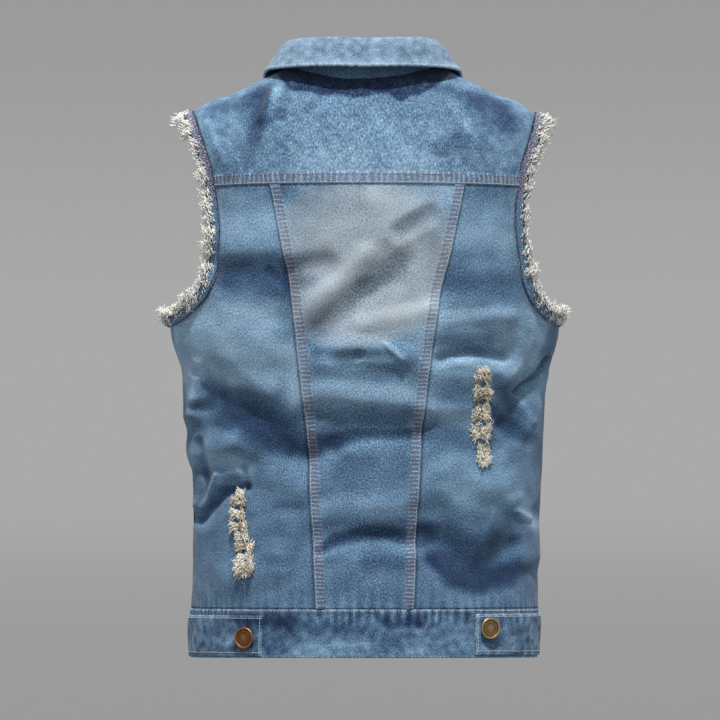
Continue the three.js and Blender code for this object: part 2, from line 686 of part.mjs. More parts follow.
// Point and outward direction on the outer facets of a grid, straight behind (x, z)
function onFacets(grid, x, z) {
  const corner = (i, j) => {
    const vertex = grid[i][j];
    const p = vertex.point.clone().addScaledVector(vertex.normal, vertex.rise ?? 0);
    return { p, n: vertex.normal };
  };
  for (let i = 0; i < grid.length - 1; i += 1) {
    for (let j = 0; j < grid[0].length - 1; j += 1) {
      const [a, b, c, d] = [corner(i, j), corner(i + 1, j), corner(i + 1, j + 1), corner(i, j + 1)];
      for (const [p, q, r] of [[a, b, c], [a, c, d]]) {
        const area = (q.p.x - p.p.x) * (r.p.z - p.p.z) - (r.p.x - p.p.x) * (q.p.z - p.p.z);
        const v = ((x - p.p.x) * (r.p.z - p.p.z) - (r.p.x - p.p.x) * (z - p.p.z)) / area;
        const w = ((q.p.x - p.p.x) * (z - p.p.z) - (x - p.p.x) * (q.p.z - p.p.z)) / area;
        if (v >= -1e-6 && w >= -1e-6 && v + w <= 1 + 1e-6) {
          const mix = (key) => p[key].clone().multiplyScalar(1 - v - w)
            .addScaledVector(q[key], v).addScaledVector(r[key], w);
          return { point: mix('p'), normal: mix('n').normalize() };
        }
      }
    }
  }
  throw new Error(`no facet behind ${x}, ${z}`);
}

// Waist tabs, laid on the facets of the band from the side seam to a square end
function onBand(column, share) {
  const i = Math.min(bandGrid.length - 2, Math.floor(column));
  const j = Math.min(bandHeights.length - 2, Math.floor(share * (bandHeights.length - 1)));
  const [u, v] = [column - i, share * (bandHeights.length - 1) - j];
  const mix = (key) => bandGrid[i][j][key].clone().lerp(bandGrid[i + 1][j][key], u)
    .lerp(bandGrid[i][j + 1][key].clone().lerp(bandGrid[i + 1][j + 1][key], u), v);
  const normal = mix('normal').normalize();
  return { point: mix('point').addScaledVector(normal, BAND_RISE + LAY_GAP + TAB_CLOTH), normal };
}
const tabFaces = {};
for (const tab of TABS) {
  const end = tab.sign * tab.end;
  const k = bandGrid.findIndex((column) => column[0].point.x > end);
  const [x0, x1] = [bandGrid[k - 1][0].point.x, bandGrid[k][0].point.x];
  const endColumn = k - 1 + (end - x0) / (x1 - x0);
  const columns = bandGrid.map((_, i) => i).filter((i) => (i - endColumn) * tab.sign > TAB_SHORTEST_FACET);
  columns.push(endColumn);
  columns.sort((a, b) => a - b);
  const bandTall = WAIST - HEM;
  const shares = [tab.aboveHem, ...TAB_ROWS, bandTall - tab.belowSeam].map((mm) => mm / bandTall);
  tabFaces[tab.side] = columns.map((column) => shares.map((share) => onBand(column, share)));
  addMesh(`tab_${tab.side}`, wallGeometry(tabFaces[tab.side], TAB_CLOTH), 'denim');
}

// Tack button: a short shank under a round head with a rolled rim and a shallow dish
function buttonGeometry() {
  const points = BUTTON_PROFILE.map(({ radius, height }) => new THREE.Vector2(radius, height));
  const lathe = new THREE.LatheGeometry(points, BUTTON_SIDES);
  lathe.deleteAttribute('normal');
  lathe.deleteAttribute('uv');
  return weld(lathe);
}

// Shared vertices: merges equal positions and drops faces that have no area
function weld(geometry) {
  const positions = geometry.attributes.position;
  const known = new Map();
  const points = [];
  const faces = [];
  const id = Array.from({ length: positions.count }, (_, k) => {
    const p = [positions.getX(k), positions.getY(k), positions.getZ(k)];
    const key = p.map((value) => Math.round(value * 1e4)).join();
    if (!known.has(key)) {
      known.set(key, points.length / 3);
      points.push(...p);
    }
    return known.get(key);
  });
  const index = geometry.index.array;
  for (let k = 0; k < index.length; k += 3) {
    const [a, b, c] = [id[index[k]], id[index[k + 1]], id[index[k + 2]]];
    if (a !== b && b !== c && c !== a) faces.push(a, b, c);
  }
  return closedGeometry(points, faces);
}

function addButton(name, seat) {
  const mesh = addMesh(name, buttonGeometry(), 'brass');
  mesh.position.copy(seat.point).addScaledVector(seat.normal, SEAM_GAP);
  mesh.quaternion.setFromUnitVectors(new THREE.Vector3(0, 1, 0), seat.normal);
}
BUTTON_HEIGHTS.forEach((z, k) => {
  const under = z > WAIST ? leftPlacketGrid : frontBandGrids.left;
  addButton(`button_front_${k + 1}`, onFacets(under, BUTTON_X, z));
});
for (const tab of TABS) {
  addButton(`button_tab_${tab.side}`, onFacets(tabFaces[tab.side], tab.sign * tab.buttonX, tab.buttonZ));
}

// Collar: rows round the neck from the left front end, over the back, to the right front end
const neckX = (sign) => Array.from(
  { length: FRONT_NECK_COLUMNS },
  (_, i) => sign * frontTopX(i, sign),
);
function neckVertex(x, back) {
  const height = heightAt(x, neckHeight(x, back), back);
  return clothVertex(angleAt(x, height, back), height);
}
const backNeck = yokeGrid.slice(SHOULDER_COLUMNS, yokeColumns - SHOULDER_COLUMNS + 1)
  .map((column) => column[column.length - 1]);
const neckRing = [
  neckVertex(-COLLAR_FRONT_END, false),
  ...neckX(-1).map((x) => neckVertex(x, false)),
  ...backNeck,
  ...neckX(1).reverse().map((x) => neckVertex(x, false)),
  neckVertex(COLLAR_FRONT_END, false),
];
const neckMiddle = new THREE.Vector3(0, NECK_MIDDLE_Y, 0);
function aroundNeck(degrees, out, height) {
  const turn = THREE.MathUtils.degToRad(degrees);
  return new THREE.Vector3(out * Math.sin(turn), NECK_MIDDLE_Y - out * Math.cos(turn), height);
}

// Height of the front cloth under a point that is given in plan
function frontHeightUnder(x, y) {
  let low = FRONT_BEND;
  let high = 0;
  for (let pass = 0; pass < SEARCH_PASSES; pass += 1) {
    const middle = (low + high) / 2;
    if (clothPoint(angleAt(x, middle, false), middle).y > y) low = middle;
    else high = middle;
  }
  return clothPoint(angleAt(x, low, false), low).z;
}

function collarSection(vertex) {
  const away = vertex.point.clone().sub(neckMiddle);
  const degrees = THREE.MathUtils.radToDeg(Math.atan2(away.x, -away.y));
  const read = (column) => readTable(COLLAR, 'angle', Math.abs(degrees), column);
  const fold = aroundNeck(degrees, read('foldOut'), read('foldHeight') - FOLD_DROP);
  const edge = aroundNeck(Math.sign(degrees) * read('edgeAngle'), read('edgeOut'), read('edgeHeight'));
  if (edge.y > LEAF_REST_FROM) {
    const rest = frontHeightUnder(edge.x, edge.y) + COLLAR_LIFT;
    edge.z = lerp(edge.z, rest, clamp01((edge.y - LEAF_REST_FROM) / LEAF_REST_OVER));
  }
  const out = new THREE.Vector3(away.x, away.y, 0).normalize();
  return { fold, edge, out, bulge: read('bulge') };
}

// Normals of a free grid, from its neighbouring points
function gridNormals(points) {
  const at = (i, j) => points[Math.min(points.length - 1, Math.max(0, i))][
    Math.min(points[0].length - 1, Math.max(0, j))];
  return points.map((column, i) => column.map((point, j) => {
    const along = at(i + 1, j).clone().sub(at(i - 1, j));
    const up = at(i, j + 1).clone().sub(at(i, j - 1));
    return { point, normal: along.cross(up).normalize() };
  }));
}

const standPoints = neckRing.map((vertex, k) => {
  const { fold } = collarSection(vertex);
  const start = vertex.point.clone().addScaledVector(intoHole(neckRing, k), STAND_INSET);
  return Array.from({ length: STAND_ROWS + 1 }, (_, j) => start.clone().lerp(fold, j / STAND_ROWS));
});
const standGrid = gridNormals(standPoints).map((column, i) => column.map(
  (vertex, j) => (j === 0 ? { ...vertex, normal: neckRing[i].normal } : vertex),
));
addMesh('collar_stand', wallGeometry(standGrid, STAND_CLOTH), 'denim');

const leafPoints = neckRing.map((vertex) => {
  const { fold, edge, out, bulge } = collarSection(vertex);
  const rising = fold.clone().sub(vertex.point).normalize();
  const start = fold.clone().addScaledVector(out, -STAND_CLOTH / 2).addScaledVector(rising, LEAF_CLEAR);
  const over = start.clone().addScaledVector(out, LEAF_TURN_OUT);
  over.z += LEAF_TURN_UP;
  const down = edge.clone().lerp(over, 0.5).addScaledVector(out, bulge);
  const curve = new THREE.CubicBezierCurve3(start, over, down, edge);
  return Array.from({ length: LEAF_ROWS + 1 }, (_, j) => curve.getPoint((j / LEAF_ROWS) ** 1.15));
});
const leafGrid = gridNormals(leafPoints).map((column, i) => column.map((vertex, j) => ({
  point: vertex.point,
  normal: j === 0 ? standGrid[i][STAND_ROWS].normal : vertex.normal,
  rise: COLLAR_CLOTH / 2,
})));
addMesh('collar_leaf', wallGeometry(leafGrid, COLLAR_CLOTH / 2), 'denim');

// Armhole seam as a ring: down the yoke and the back, then up the front to the shoulder
function armholeRing(sign) {
  const yokeEnd = sign < 0 ? yokeGrid[0] : yokeGrid[yokeColumns];
  const back = UPPER_ROW_HEIGHTS.slice(0, -1).reverse()
    .map((height) => clothVertex(armholeAngle(height, sign, true), height));
  const front = frontGrids[sideOf(sign)][frontColumns].slice(LOWER_ROWS + 1, -1);
  return [...[...yokeEnd].reverse(), ...back, ...front];
}

// Direction in the cloth that leads into the hole, square to the seam
function intoHole(ring, k) {
  const before = ring[(k + ring.length - 1) % ring.length].point;
  const after = ring[(k + 1) % ring.length].point;
  const middle = ring.reduce((sum, vertex) => sum.add(vertex.point), new THREE.Vector3())
    .divideScalar(ring.length);
  const direction = after.clone().sub(before).cross(ring[k].normal).normalize();
  return direction.dot(middle.clone().sub(ring[k].point)) < 0 ? direction.negate() : direction;
}

// Strip round the armhole between two distances from the seam, flared out at the armpit
function armStrip(ring, from, to) {
  return ring.map((vertex, k) => {
    const direction = intoHole(ring, k);
    const flare = ARM_FLARE + ARMPIT_FLARE * clamp01((FLARE_FROM - vertex.point.z) / FLARE_OVER);
    const course = direction.clone().addScaledVector(vertex.normal, flare).normalize();
    const normal = vertex.normal.clone().addScaledVector(course, -vertex.normal.dot(course)).normalize();
    return [from, to].map((distance) => ({
      point: vertex.point.clone().addScaledVector(course, distance),
      normal,
      course,
    }));
  });
}

// Repeatable random numbers
function seededRandom(seed) {
  let state = seed;
  return () => {
    state = (state * 1664525 + 1013904223) % 4294967296;
    return state / 4294967296;
  };
}

function toManifold(geometry) {
  return new wasm.Manifold(new wasm.Mesh({
    numProp: 3,
    vertProperties: new Float32Array(geometry.attributes.position.array),
    triVerts: new Uint32Array(geometry.index.array),
  }));
}
function fromManifold(solid) {
  const mesh = solid.getMesh();
  return closedGeometry(Array.from(mesh.vertProperties), Array.from(mesh.triVerts));
}

// One lock of frayed yarn: three-sided, bent once, to a blunt tip
function lockGeometry({ root, course, bend, across, length, thick }) {
  const points = [
    root.clone(),
    root.clone().addScaledVector(course, length * 0.55),
    root.clone().addScaledVector(course, length * 0.8).addScaledVector(bend, length * 0.45),
  ];
  const radii = [thick * 0.85, thick, thick * 0.45];
  const sideways = across.clone().cross(course).normalize();
  const positions = [];
  points.forEach((point, k) => {
    for (let side = 0; side < 3; side += 1) {
      const turn = (side / 3) * Math.PI * 2;
      positions.push(...point.clone()
        .addScaledVector(across, Math.cos(turn) * radii[k])
        .addScaledVector(sideways, Math.sin(turn) * radii[k]).toArray());
    }
  });
  const faces = [0, 2, 1, 6, 7, 8];
  for (let k = 0; k < 2; k += 1) {
    for (let side = 0; side < 3; side += 1) {
      const [a, b] = [k * 3 + side, k * 3 + ((side + 1) % 3)];
      faces.push(a, b, b + 3, a, b + 3, a + 3);
    }
  }
  return faceOut(closedGeometry(positions, faces));
}

function frayGeometry(strip, seed) {
  const random = seededRandom(seed);
  const spread = (size) => (random() * 2 - 1) * size;
  const ends = strip.map((pair) => pair[1]);
  const lengths = ends.map((end, k) => end.point.distanceTo(ends[(k + 1) % ends.length].point));
  const total = lengths.reduce((sum, value) => sum + value, 0);
  const solids = [toManifold(faceOut(wallGeometry(strip, FRAY_STRIP_CLOTH, true)))];
  for (let lock = 0; lock < FRAY_LOCKS; lock += 1) {
    let distance = ((lock + 0.5 + spread(0.2)) / FRAY_LOCKS) * total;
    let k = 0;
    while (distance > lengths[k]) {
      distance -= lengths[k];
      k += 1;
    }
    const [a, b] = [ends[k], ends[(k + 1) % ends.length]];
    const share = distance / lengths[k];
    const normal = a.normal.clone().lerp(b.normal, share).normalize();
    const along = b.point.clone().sub(a.point).normalize();
    const course = a.course.clone().lerp(b.course, share)
      .addScaledVector(along, spread(0.12)).addScaledVector(normal, spread(0.35)).normalize();
    const root = a.point.clone().lerp(b.point, share)
      .addScaledVector(normal, -FRAY_STRIP_CLOTH / 2).addScaledVector(course, -FRAY_STRIP_WIDTH * 0.3);
    const across = along.clone().addScaledVector(course, -along.dot(course)).normalize();
    const bend = along.clone().multiplyScalar(spread(0.3)).addScaledVector(normal, spread(0.9));
    const length = FRAY_LENGTH * (0.9 + random() * 0.5);
    const thick = FRAY_THICK * (0.8 + random() * 0.4);
    solids.push(toManifold(lockGeometry({ root, course, bend, across, length, thick })));
  }
  // The union can close small pockets between locks: only the outer body is kept
  const bodies = wasm.Manifold.union(solids).decompose();
  bodies.sort((a, b) => b.volume() - a.volume());
  return fromManifold(bodies[0]);
}

for (const sign of [-1, 1]) {
  const side = sideOf(sign);
  const ring = armholeRing(sign);
  const bandFrom = SEAM_GAP / 2;
  const bandTo = bandFrom + ARM_BAND_WIDTH;
  const band = armStrip(ring, bandFrom, bandTo);
  addMesh(`armhole_band_${side}`, weld(wallGeometry(band, ARM_BAND_CLOTH, true)), 'denim');
  const strip = armStrip(ring, bandTo + FRAY_GAP, bandTo + FRAY_GAP + FRAY_STRIP_WIDTH);
  addMesh(`armhole_fray_${side}`, frayGeometry(strip, FRAY_SEEDS[side]), 'yarn');
}

// Frayed yarn of the rips, laid on the facets of the side panels
for (const { side, rows } of RIPS) {
  const stations = rows.flatMap((row, k) => {
    const next = rows[k + 1];
    if (!next) return [row];
    const half = { height: (row.height + next.height) / 2, x: (row.x + next.x) / 2 };
    return [row, { ...half, width: Math.min(row.width, next.width) * RIP_NARROWING, waist: true }];
  });
  const grid = RIP_ACROSS.map(({ share, crown }) => [...stations].reverse().map((station) => {
    const x = station.x + share * station.width;
    const { point, normal } = onFacets(sideGrids[side], x, station.height);
    const thick = RIP_THICK * crown * (station.waist ? RIP_WAIST : 1);
    return { point: point.addScaledVector(normal, RIP_BASE + thick), normal, thick };
  }));
  addMesh(`rip_yarn_${side}`, wallGeometry(grid, RIP_THICK), 'yarn');
}

export default vest;
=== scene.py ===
# Denim vest seen from behind: a sleeveless trucker jacket, hollow, in its worn shape.
# The frame is that of the solids: metres, +Z up, +X to the wearer's right, +Y to the wearer's front.
# Sizes below are in millimetres, and are turned into metres where a mesh is made.
import math

import bpy
import numpy as np
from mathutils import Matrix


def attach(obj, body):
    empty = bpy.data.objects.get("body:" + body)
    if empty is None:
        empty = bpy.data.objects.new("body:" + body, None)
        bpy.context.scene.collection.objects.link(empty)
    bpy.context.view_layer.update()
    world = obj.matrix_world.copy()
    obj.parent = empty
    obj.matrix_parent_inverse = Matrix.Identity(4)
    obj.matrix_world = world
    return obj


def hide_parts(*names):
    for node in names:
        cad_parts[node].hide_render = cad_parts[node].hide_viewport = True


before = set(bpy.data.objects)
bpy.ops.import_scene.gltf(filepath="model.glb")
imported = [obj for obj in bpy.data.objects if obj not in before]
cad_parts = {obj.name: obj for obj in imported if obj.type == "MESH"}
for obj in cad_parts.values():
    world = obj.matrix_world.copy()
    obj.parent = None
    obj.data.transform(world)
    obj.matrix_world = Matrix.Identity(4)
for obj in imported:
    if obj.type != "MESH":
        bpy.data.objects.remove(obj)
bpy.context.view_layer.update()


# Camera, floor and light
# A level camera at the photograph's distance looks at the back of the vest.
# One high key light makes the folds' shadows, and a weaker one lights the wearer's front.
MM = 0.001
CAMERA_X = -3.24
CAMERA_Z = -302.4
CAMERA_AWAY = 4000
HALF_FRAME = 388.8
FLOOR_Z = -760
scene = bpy.context.scene
scene.view_settings.view_transform = "Standard"


def srgb(code):
    """The linear colour of an sRGB hex code."""
    channels = [int(code[k:k + 2], 16) / 255 for k in (1, 3, 5)]
    linear = [c / 12.92 if c <= 0.04045 else ((c + 0.055) / 1.055) ** 2.4 for c in channels]
    return (*linear, 1.0)


def add_node(tree, kind, *inputs, out=0, stops=(), **settings):
    """Adds a node with its settings and links, and gives one of its outputs.

    Inputs are numbers, colours or other nodes' outputs, in the order of the sockets, or one
    dictionary of them by socket. Stops are the places and colours of a colour ramp.
    """
    node = tree.nodes.new("ShaderNode" + kind)
    for key, value in settings.items():
        setattr(node, key, value)
    by_socket = inputs[0] if inputs and isinstance(inputs[0], dict) else dict(enumerate(inputs))
    for key, value in by_socket.items():
        if isinstance(value, bpy.types.NodeSocket):
            tree.links.new(value, node.inputs[key])
        else:
            node.inputs[key].default_value = value
    while stops and len(node.color_ramp.elements) < len(stops):
        node.color_ramp.elements.new(0.5)
    for k, (place, colour) in enumerate(stops):
        node.color_ramp.elements[k].position = place
        node.color_ramp.elements[k].color = colour
    return node.outputs[out] if node.outputs else node


def new_material(name):
    """An empty material and its node tree."""
    material = bpy.data.materials.new(name)
    material.use_nodes = True
    material.node_tree.nodes.clear()
    return material, material.node_tree


def add_camera():
    """The photograph's level view of the back."""
    data = bpy.data.cameras.new("camera")
    data.angle = 2 * math.atan(HALF_FRAME / CAMERA_AWAY)
    camera = bpy.data.objects.new("camera", data)
    camera.location = (CAMERA_X * MM, -CAMERA_AWAY * MM, CAMERA_Z * MM)
    camera.rotation_euler = (math.pi / 2, 0, 0)
    scene.collection.objects.link(camera)
    scene.camera = camera


def add_sun(name, energy, elevation, heading, softness):
    """A far light: heading 0 comes from the camera's side, 180 from the wearer's front."""
    data = bpy.data.lights.new(name, "SUN")
    data.energy = energy
    data.angle = math.radians(softness)
    light = bpy.data.objects.new(name, data)
    light.rotation_euler = (math.radians(90 - elevation), 0, math.radians(heading))
    scene.collection.objects.link(light)


GREY_HORIZON = srgb("#aaaaaa")
GREY_TOP = srgb("#9b9b9b")
GREY_FLOOR = srgb("#757575")
AMBIENT = (0.43, 0.43, 0.443, 1.0)
TOP_OF_FRAME = 0.1
# Settings of nodes: a range that eases in and out, and a mix of two colours
SMOOTH = {"interpolation_type": "SMOOTHSTEP"}
OF_COLOURS = {"data_type": "RGBA", "out": 2}


def paint_world():
    """A grey backdrop that darkens upwards, and even grey light from all round."""
    world = bpy.data.worlds.new("studio")
    scene.world = world
    world.use_nodes = True
    tree = world.node_tree
    tree.nodes.clear()
    place = add_node(tree, "TexCoord", out="Generated")
    height = add_node(tree, "SeparateXYZ", place, out="Z")
    rise = add_node(tree, "MapRange", height, 0.0, TOP_OF_FRAME, **SMOOTH)
    backdrop = add_node(tree, "Mix", {0: rise, 6: GREY_HORIZON, 7: GREY_TOP}, **OF_COLOURS)
    seen = add_node(tree, "Background", backdrop)
    even = add_node(tree, "Background", AMBIENT)
    from_camera = add_node(tree, "LightPath", out="Is Camera Ray")
    add_node(tree, "OutputWorld", add_node(tree, "MixShader", from_camera, even, seen))


FLOOR_RADIUS = 40000
FLOOR_FADE_FROM = 1.0
FLOOR_FADE_TO = 8.0


def add_floor():
    """A wide pale floor that runs into the backdrop without an edge."""
    bpy.ops.mesh.primitive_circle_add(
        vertices=96, radius=FLOOR_RADIUS * MM, fill_type="NGON", location=(0, 0, FLOOR_Z * MM))
    floor = bpy.context.object
    floor.name = "floor"
    material, tree = new_material("pale_studio_floor")
    place = add_node(tree, "TexCoord", out="Object")
    away = add_node(tree, "VectorMath", place, operation="LENGTH", out="Value")
    fade = add_node(tree, "MapRange", away, FLOOR_FADE_FROM, FLOOR_FADE_TO, **SMOOTH)
    near = add_node(tree, "BsdfDiffuse", GREY_FLOOR)
    far = add_node(tree, "Emission", GREY_HORIZON)
    add_node(tree, "OutputMaterial", add_node(tree, "MixShader", fade, near, far))
    floor.data.materials.append(material)


add_camera()
add_sun("key", energy=3.45, elevation=68, heading=0, softness=3.5)
add_sun("front_key", energy=1.5, elevation=58, heading=180, softness=12)
paint_world()
add_floor()


# Back centre panel
# Heavy cotton twill, indigo warp over white weft, washed and bleached pale in its upper half.
# It is cut between two slanted seams and felled over the side panels, with two rows of stitches.
CLOTH = 1.3
SEAM_HALF_GAP = 0.15
FELL_WIDTH = 11
FELL_RISE = 0.9
FELL_SLOPE = 2.4
FELL_PUCKER = 0.18
HEM = -623
WAIST = -570
ARMPIT = -266
YOKE_SEAM = -122
BACK_BEND = -112
FRONT_BEND = -220
FRONT_BEND_POWER = 1.3
SECTION_POWER = 2.2
NECK_HALF_WIDTH = 82
BACK_NECK = -7
FRONT_NECK = -62
QUARTER = math.pi / 2
SECTIONS = {
    "height": [-623, -570, -502, -454, -400, -346, -310, -266, -190, -112, 0],
    "left": [186, 184, 184, 184, 187, 192, 195, 209, 207, 205, 205],
    "right": [187, 188, 188, 191, 193, 197, 201, 211, 209, 208, 207],
    "back": [117, 114, 108, 105, 104, 107, 111, 115, 118, 116, 112],
    "front": [114, 112, 110, 110, 112, 115, 117, 118, 116, 110, 100],
    "rise": [8, 6, 3, 1, 0, 0, 0, 0, 2, 5, 0],
}
SHOULDER = {
    "across": [0, 50, 82, 105, 140, 165, 183, 215],
    "height": [26, 22, 12, 0, -16.5, -25, -36, -52],
    "forward": [-20, -20, -20, -19, -17, -15, -14, -13],
}
SHOULDER_TIP = 183
PRINCESS = {
    "height": [-570, -422, -352, -297, -239, -199, -121],
    "left": [50, 58, 63.5, 69.5, 76, 83, 99],
    "right": [54, 60.5, 66, 72.5, 81, 91, 108],
}
# Folds by their line (x1, z1) to (x2, z2), half width and depth, as in the solids
BACK_FOLDS = [
    (-85, -14, -90, -42, 14, -4), (-94, -18, -108, -40, 13, 3), (-114, -26, -124, -84, 19, -4),
    (-170, -58, -147, -98, 20, 3), (85, -55, 100, -85, 28, -4), (70, -145, 38, -164, 15, -4),
    (34, -192, -45, -262, 32, -6), (60, -177, 78, -222, 26, -5), (-74, -204, -38, -200, 24, -4),
    (-22, -282, 40, -292, 20, 4), (-52, -358, 56, -366, 30, -7), (-56, -404, -28, -378, 22, -4),
    (-45, -481, 44, -479, 24, -5), (-148, -203, -92, -198, 24, -5), (-158, -318, -122, -346, 30, -7),
    (-98, -362, -60, -402, 34, -7), (-178, -312, -184, -360, 18, 4), (-176, -392, -118, -380, 26, 5),
    (-173, -400, -171, -445, 17, -5), (-172, -466, -136, -432, 17, -5), (-140, -520, -90, -505, 30, 3),
    (84, -286, 152, -284, 26, -5), (72, -366, 112, -364, 22, -5), (140, -384, 178, -330, 24, -7),
    (190, -298, 168, -334, 18, -5), (68, -462, 108, -528, 34, -7), (164, -470, 138, -526, 28, -6),
    (164, -458, 182, -510, 22, 4), (100, -225, 150, -240, 28, 4), (88, -410, 150, -425, 28, 4),
]
FRONT_FOLDS = [
    (-150, -215, -70, -175, 28, -5), (150, -220, 75, -170, 30, -5), (-165, -330, -60, -385, 32, -7),
    (168, -345, 64, -372, 30, -6), (-60, -440, -130, -505, 32, -6), (58, -452, 140, -498, 34, -7),
    (-150, -415, -100, -420, 26, 4), (90, -300, 145, -290, 28, 4),
]
# Creases: the same columns, and how much paler the colour is there: painted light on ridges above zero,
# painted shade in troughs below it
BACK_CREASES = [
    # Yoke
    (-80, -14, -87, -44, 8, -1.5, -0.5), (-76, -10, -84, -31, 6, 1, 0.3),
    (-118, -40, -113, -62, 12, -0.3, -0.15),
    (-165, -49, -145, -92, 6, 1.2, 0.3), (-98, -42, -91, -16, 8, 1.2, 0.5), (81, -81, 102, -70, 17, -1, -0.4),
    (146, -37, 154, -56, 14, -1, -0.4),
    # Centre panel
    (-77, -204, -41, -190, 16, -1, -0.4), (-64, -254, 3, -187, 18, 1, 0.4),
    (-47, -266, 3, -224, 18, -1, -0.5),
    (3, -224, 43, -195, 18, -1, -0.6), (41, -164, 60, -151, 14, 0, -0.35), (-1, -258, 70, -246, 14, 1, 0.35),
    (-5, -294, 28, -295, 9, -1, -0.3), (23, -284, 41, -300, 5, 1.5, 0.3), (-47, -295, -5, -295, 10, -1, -0.3),
    (-43, -328, 39, -336, 17, 1.5, 0.1),
    (-35, -450, 39, -446, 15, 1.5, 0.1),
    # Left side panel
    (-140, -216, -84, -218, 32, -0.5, -0.55), (-100, -208, -85, -218, 9, -1, -0.3),
    (-190, -277, -87, -275, 30, 1.5, 0.3), (-186, -302, -175, -313, 8, -2, -0.4),
    (-174, -317, -182, -360, 6, 2, 0.4),
    (-174, -394, -134, -383, 15, 1.5, 0.2), (-174, -390, -172, -424, 9, -2, -0.5),
    (-158, -424, -177, -469, 5, 2, 0.3),
    (-126, -415, -124, -438, 6, -1.5, -0.3), (-88, -456, -64, -456, 10, -0.8, -0.2),
    (-107, -513, -75, -513, 10, -0.8, -0.2), (-107, -419, -66, -429, 17, 1, 0.1),
    # Right side panel
    (92, -224, 158, -234, 28, -0.5, -0.5), (87, -256, 154, -251, 13, 1.5, 0.2),
    (94, -302, 117, -305, 8, 1.5, 0.2),
    (141, -324, 167, -366, 15, -1.5, -0.5), (132, -352, 160, -376, 16, -1, -0.5),
    (154, -370, 174, -384, 14, -1.5, -0.5),
    (172, -341, 181, -367, 7, 1.5, 0.3),
    (164, -462, 178, -470, 5, 1.5, 0.4), (92, -435, 141, -434, 19, 1, 0.1),
]
FRONT_CREASES = [
    (-150, -215, -70, -175, 14, -1.6, -0.3), (150, -220, 75, -170, 15, -1.6, -0.3),
    (-120, -196, -60, -160, 9, 1.2, 0.3), (-165, -330, -60, -385, 16, -1.5, -0.15),
    (168, -345, 64, -372, 15, -1.5, -0.15), (-60, -440, -130, -505, 16, -1.5, -0.2),
    (58, -452, 140, -498, 17, -1.5, -0.2), (-150, -415, -100, -420, 13, 1.5, 0.25),
    (90, -300, 145, -290, 14, 1.5, 0.25), (110, -255, 170, -262, 10, -1.4, -0.25),
    (-175, -258, -120, -250, 10, -1.4, -0.25), (-140, -300, -80, -296, 11, 1.4, 0.25),
    (60, -330, 110, -338, 10, 1.4, 0.25), (-110, -545, -60, -530, 10, -1.2, -0.2),
    (80, -540, 130, -552, 10, -1.2, -0.2),
]
# Long curved folds: depth, how much paler the colour is (below zero, painted shade of the fold), and points
# of the line (x, z, half width)
BACK_SWEEPS = [
    (-1.2, -0.35, [(-107, -18, 16), (-113, -59, 15), (-124, -95, 14)]),
    (-2.0, -0.75, [(-176, -350, 11), (-154, -348, 21), (-124, -360, 29), (-94, -378, 30), (-60, -393, 27),
                   (-34, -388, 19)]),
    # Painted shade with no fold under it
    (0, -0.75, [(-152, -366, 14), (-129, -374, 20), (-106, -390, 21), (-82, -398, 18)]),
    (-1.8, -0.65, [(-30, -390, 17), (-8, -381, 13), (54, -380, 12)]),
    # Painted shade with no fold under it
    (0, -0.35, [(60, -380, 13), (84, -386, 17), (114, -385, 17)]),
    (-2.5, -0.75, [(-46, -503, 9), (-28, -492, 13), (0, -485, 15), (22, -484, 15), (52, -490, 16),
                   (64, -488, 24)]),
    (-2.0, -0.6, [(66, -480, 16), (96, -496, 27), (121, -504, 32), (149, -496, 26), (160, -492, 14)]),
    # Painted shade with no fold under it
    (0, -1.2, [(76, -512, 17), (99, -530, 28), (122, -536, 31), (148, -532, 29), (162, -526, 20)]),
    (-3, -0.8, [(200, -300, 4), (186, -322, 6), (170, -337, 6)]),
    (-2.5, -0.6, [(-123, -436, 8), (-151, -444, 10), (-177, -472, 10)]),
    (-2.5, -0.6, [(81, -300, 11), (113, -292, 10), (150, -298, 10)]),
]
FRONT_SWEEPS = [
    (-2.4, -0.6, [(-176, -338, 14), (-140, -350, 24), (-95, -380, 25), (-50, -388, 16)]),
    (-2.4, -0.6, [(178, -350, 14), (140, -362, 24), (92, -386, 25), (48, -392, 16)]),
    (-2.0, -0.6, [(-60, -470, 16), (-100, -500, 28), (-140, -492, 22)]),
    (-2.0, -0.6, [(56, -462, 16), (98, -496, 28), (145, -500, 22)]),
]
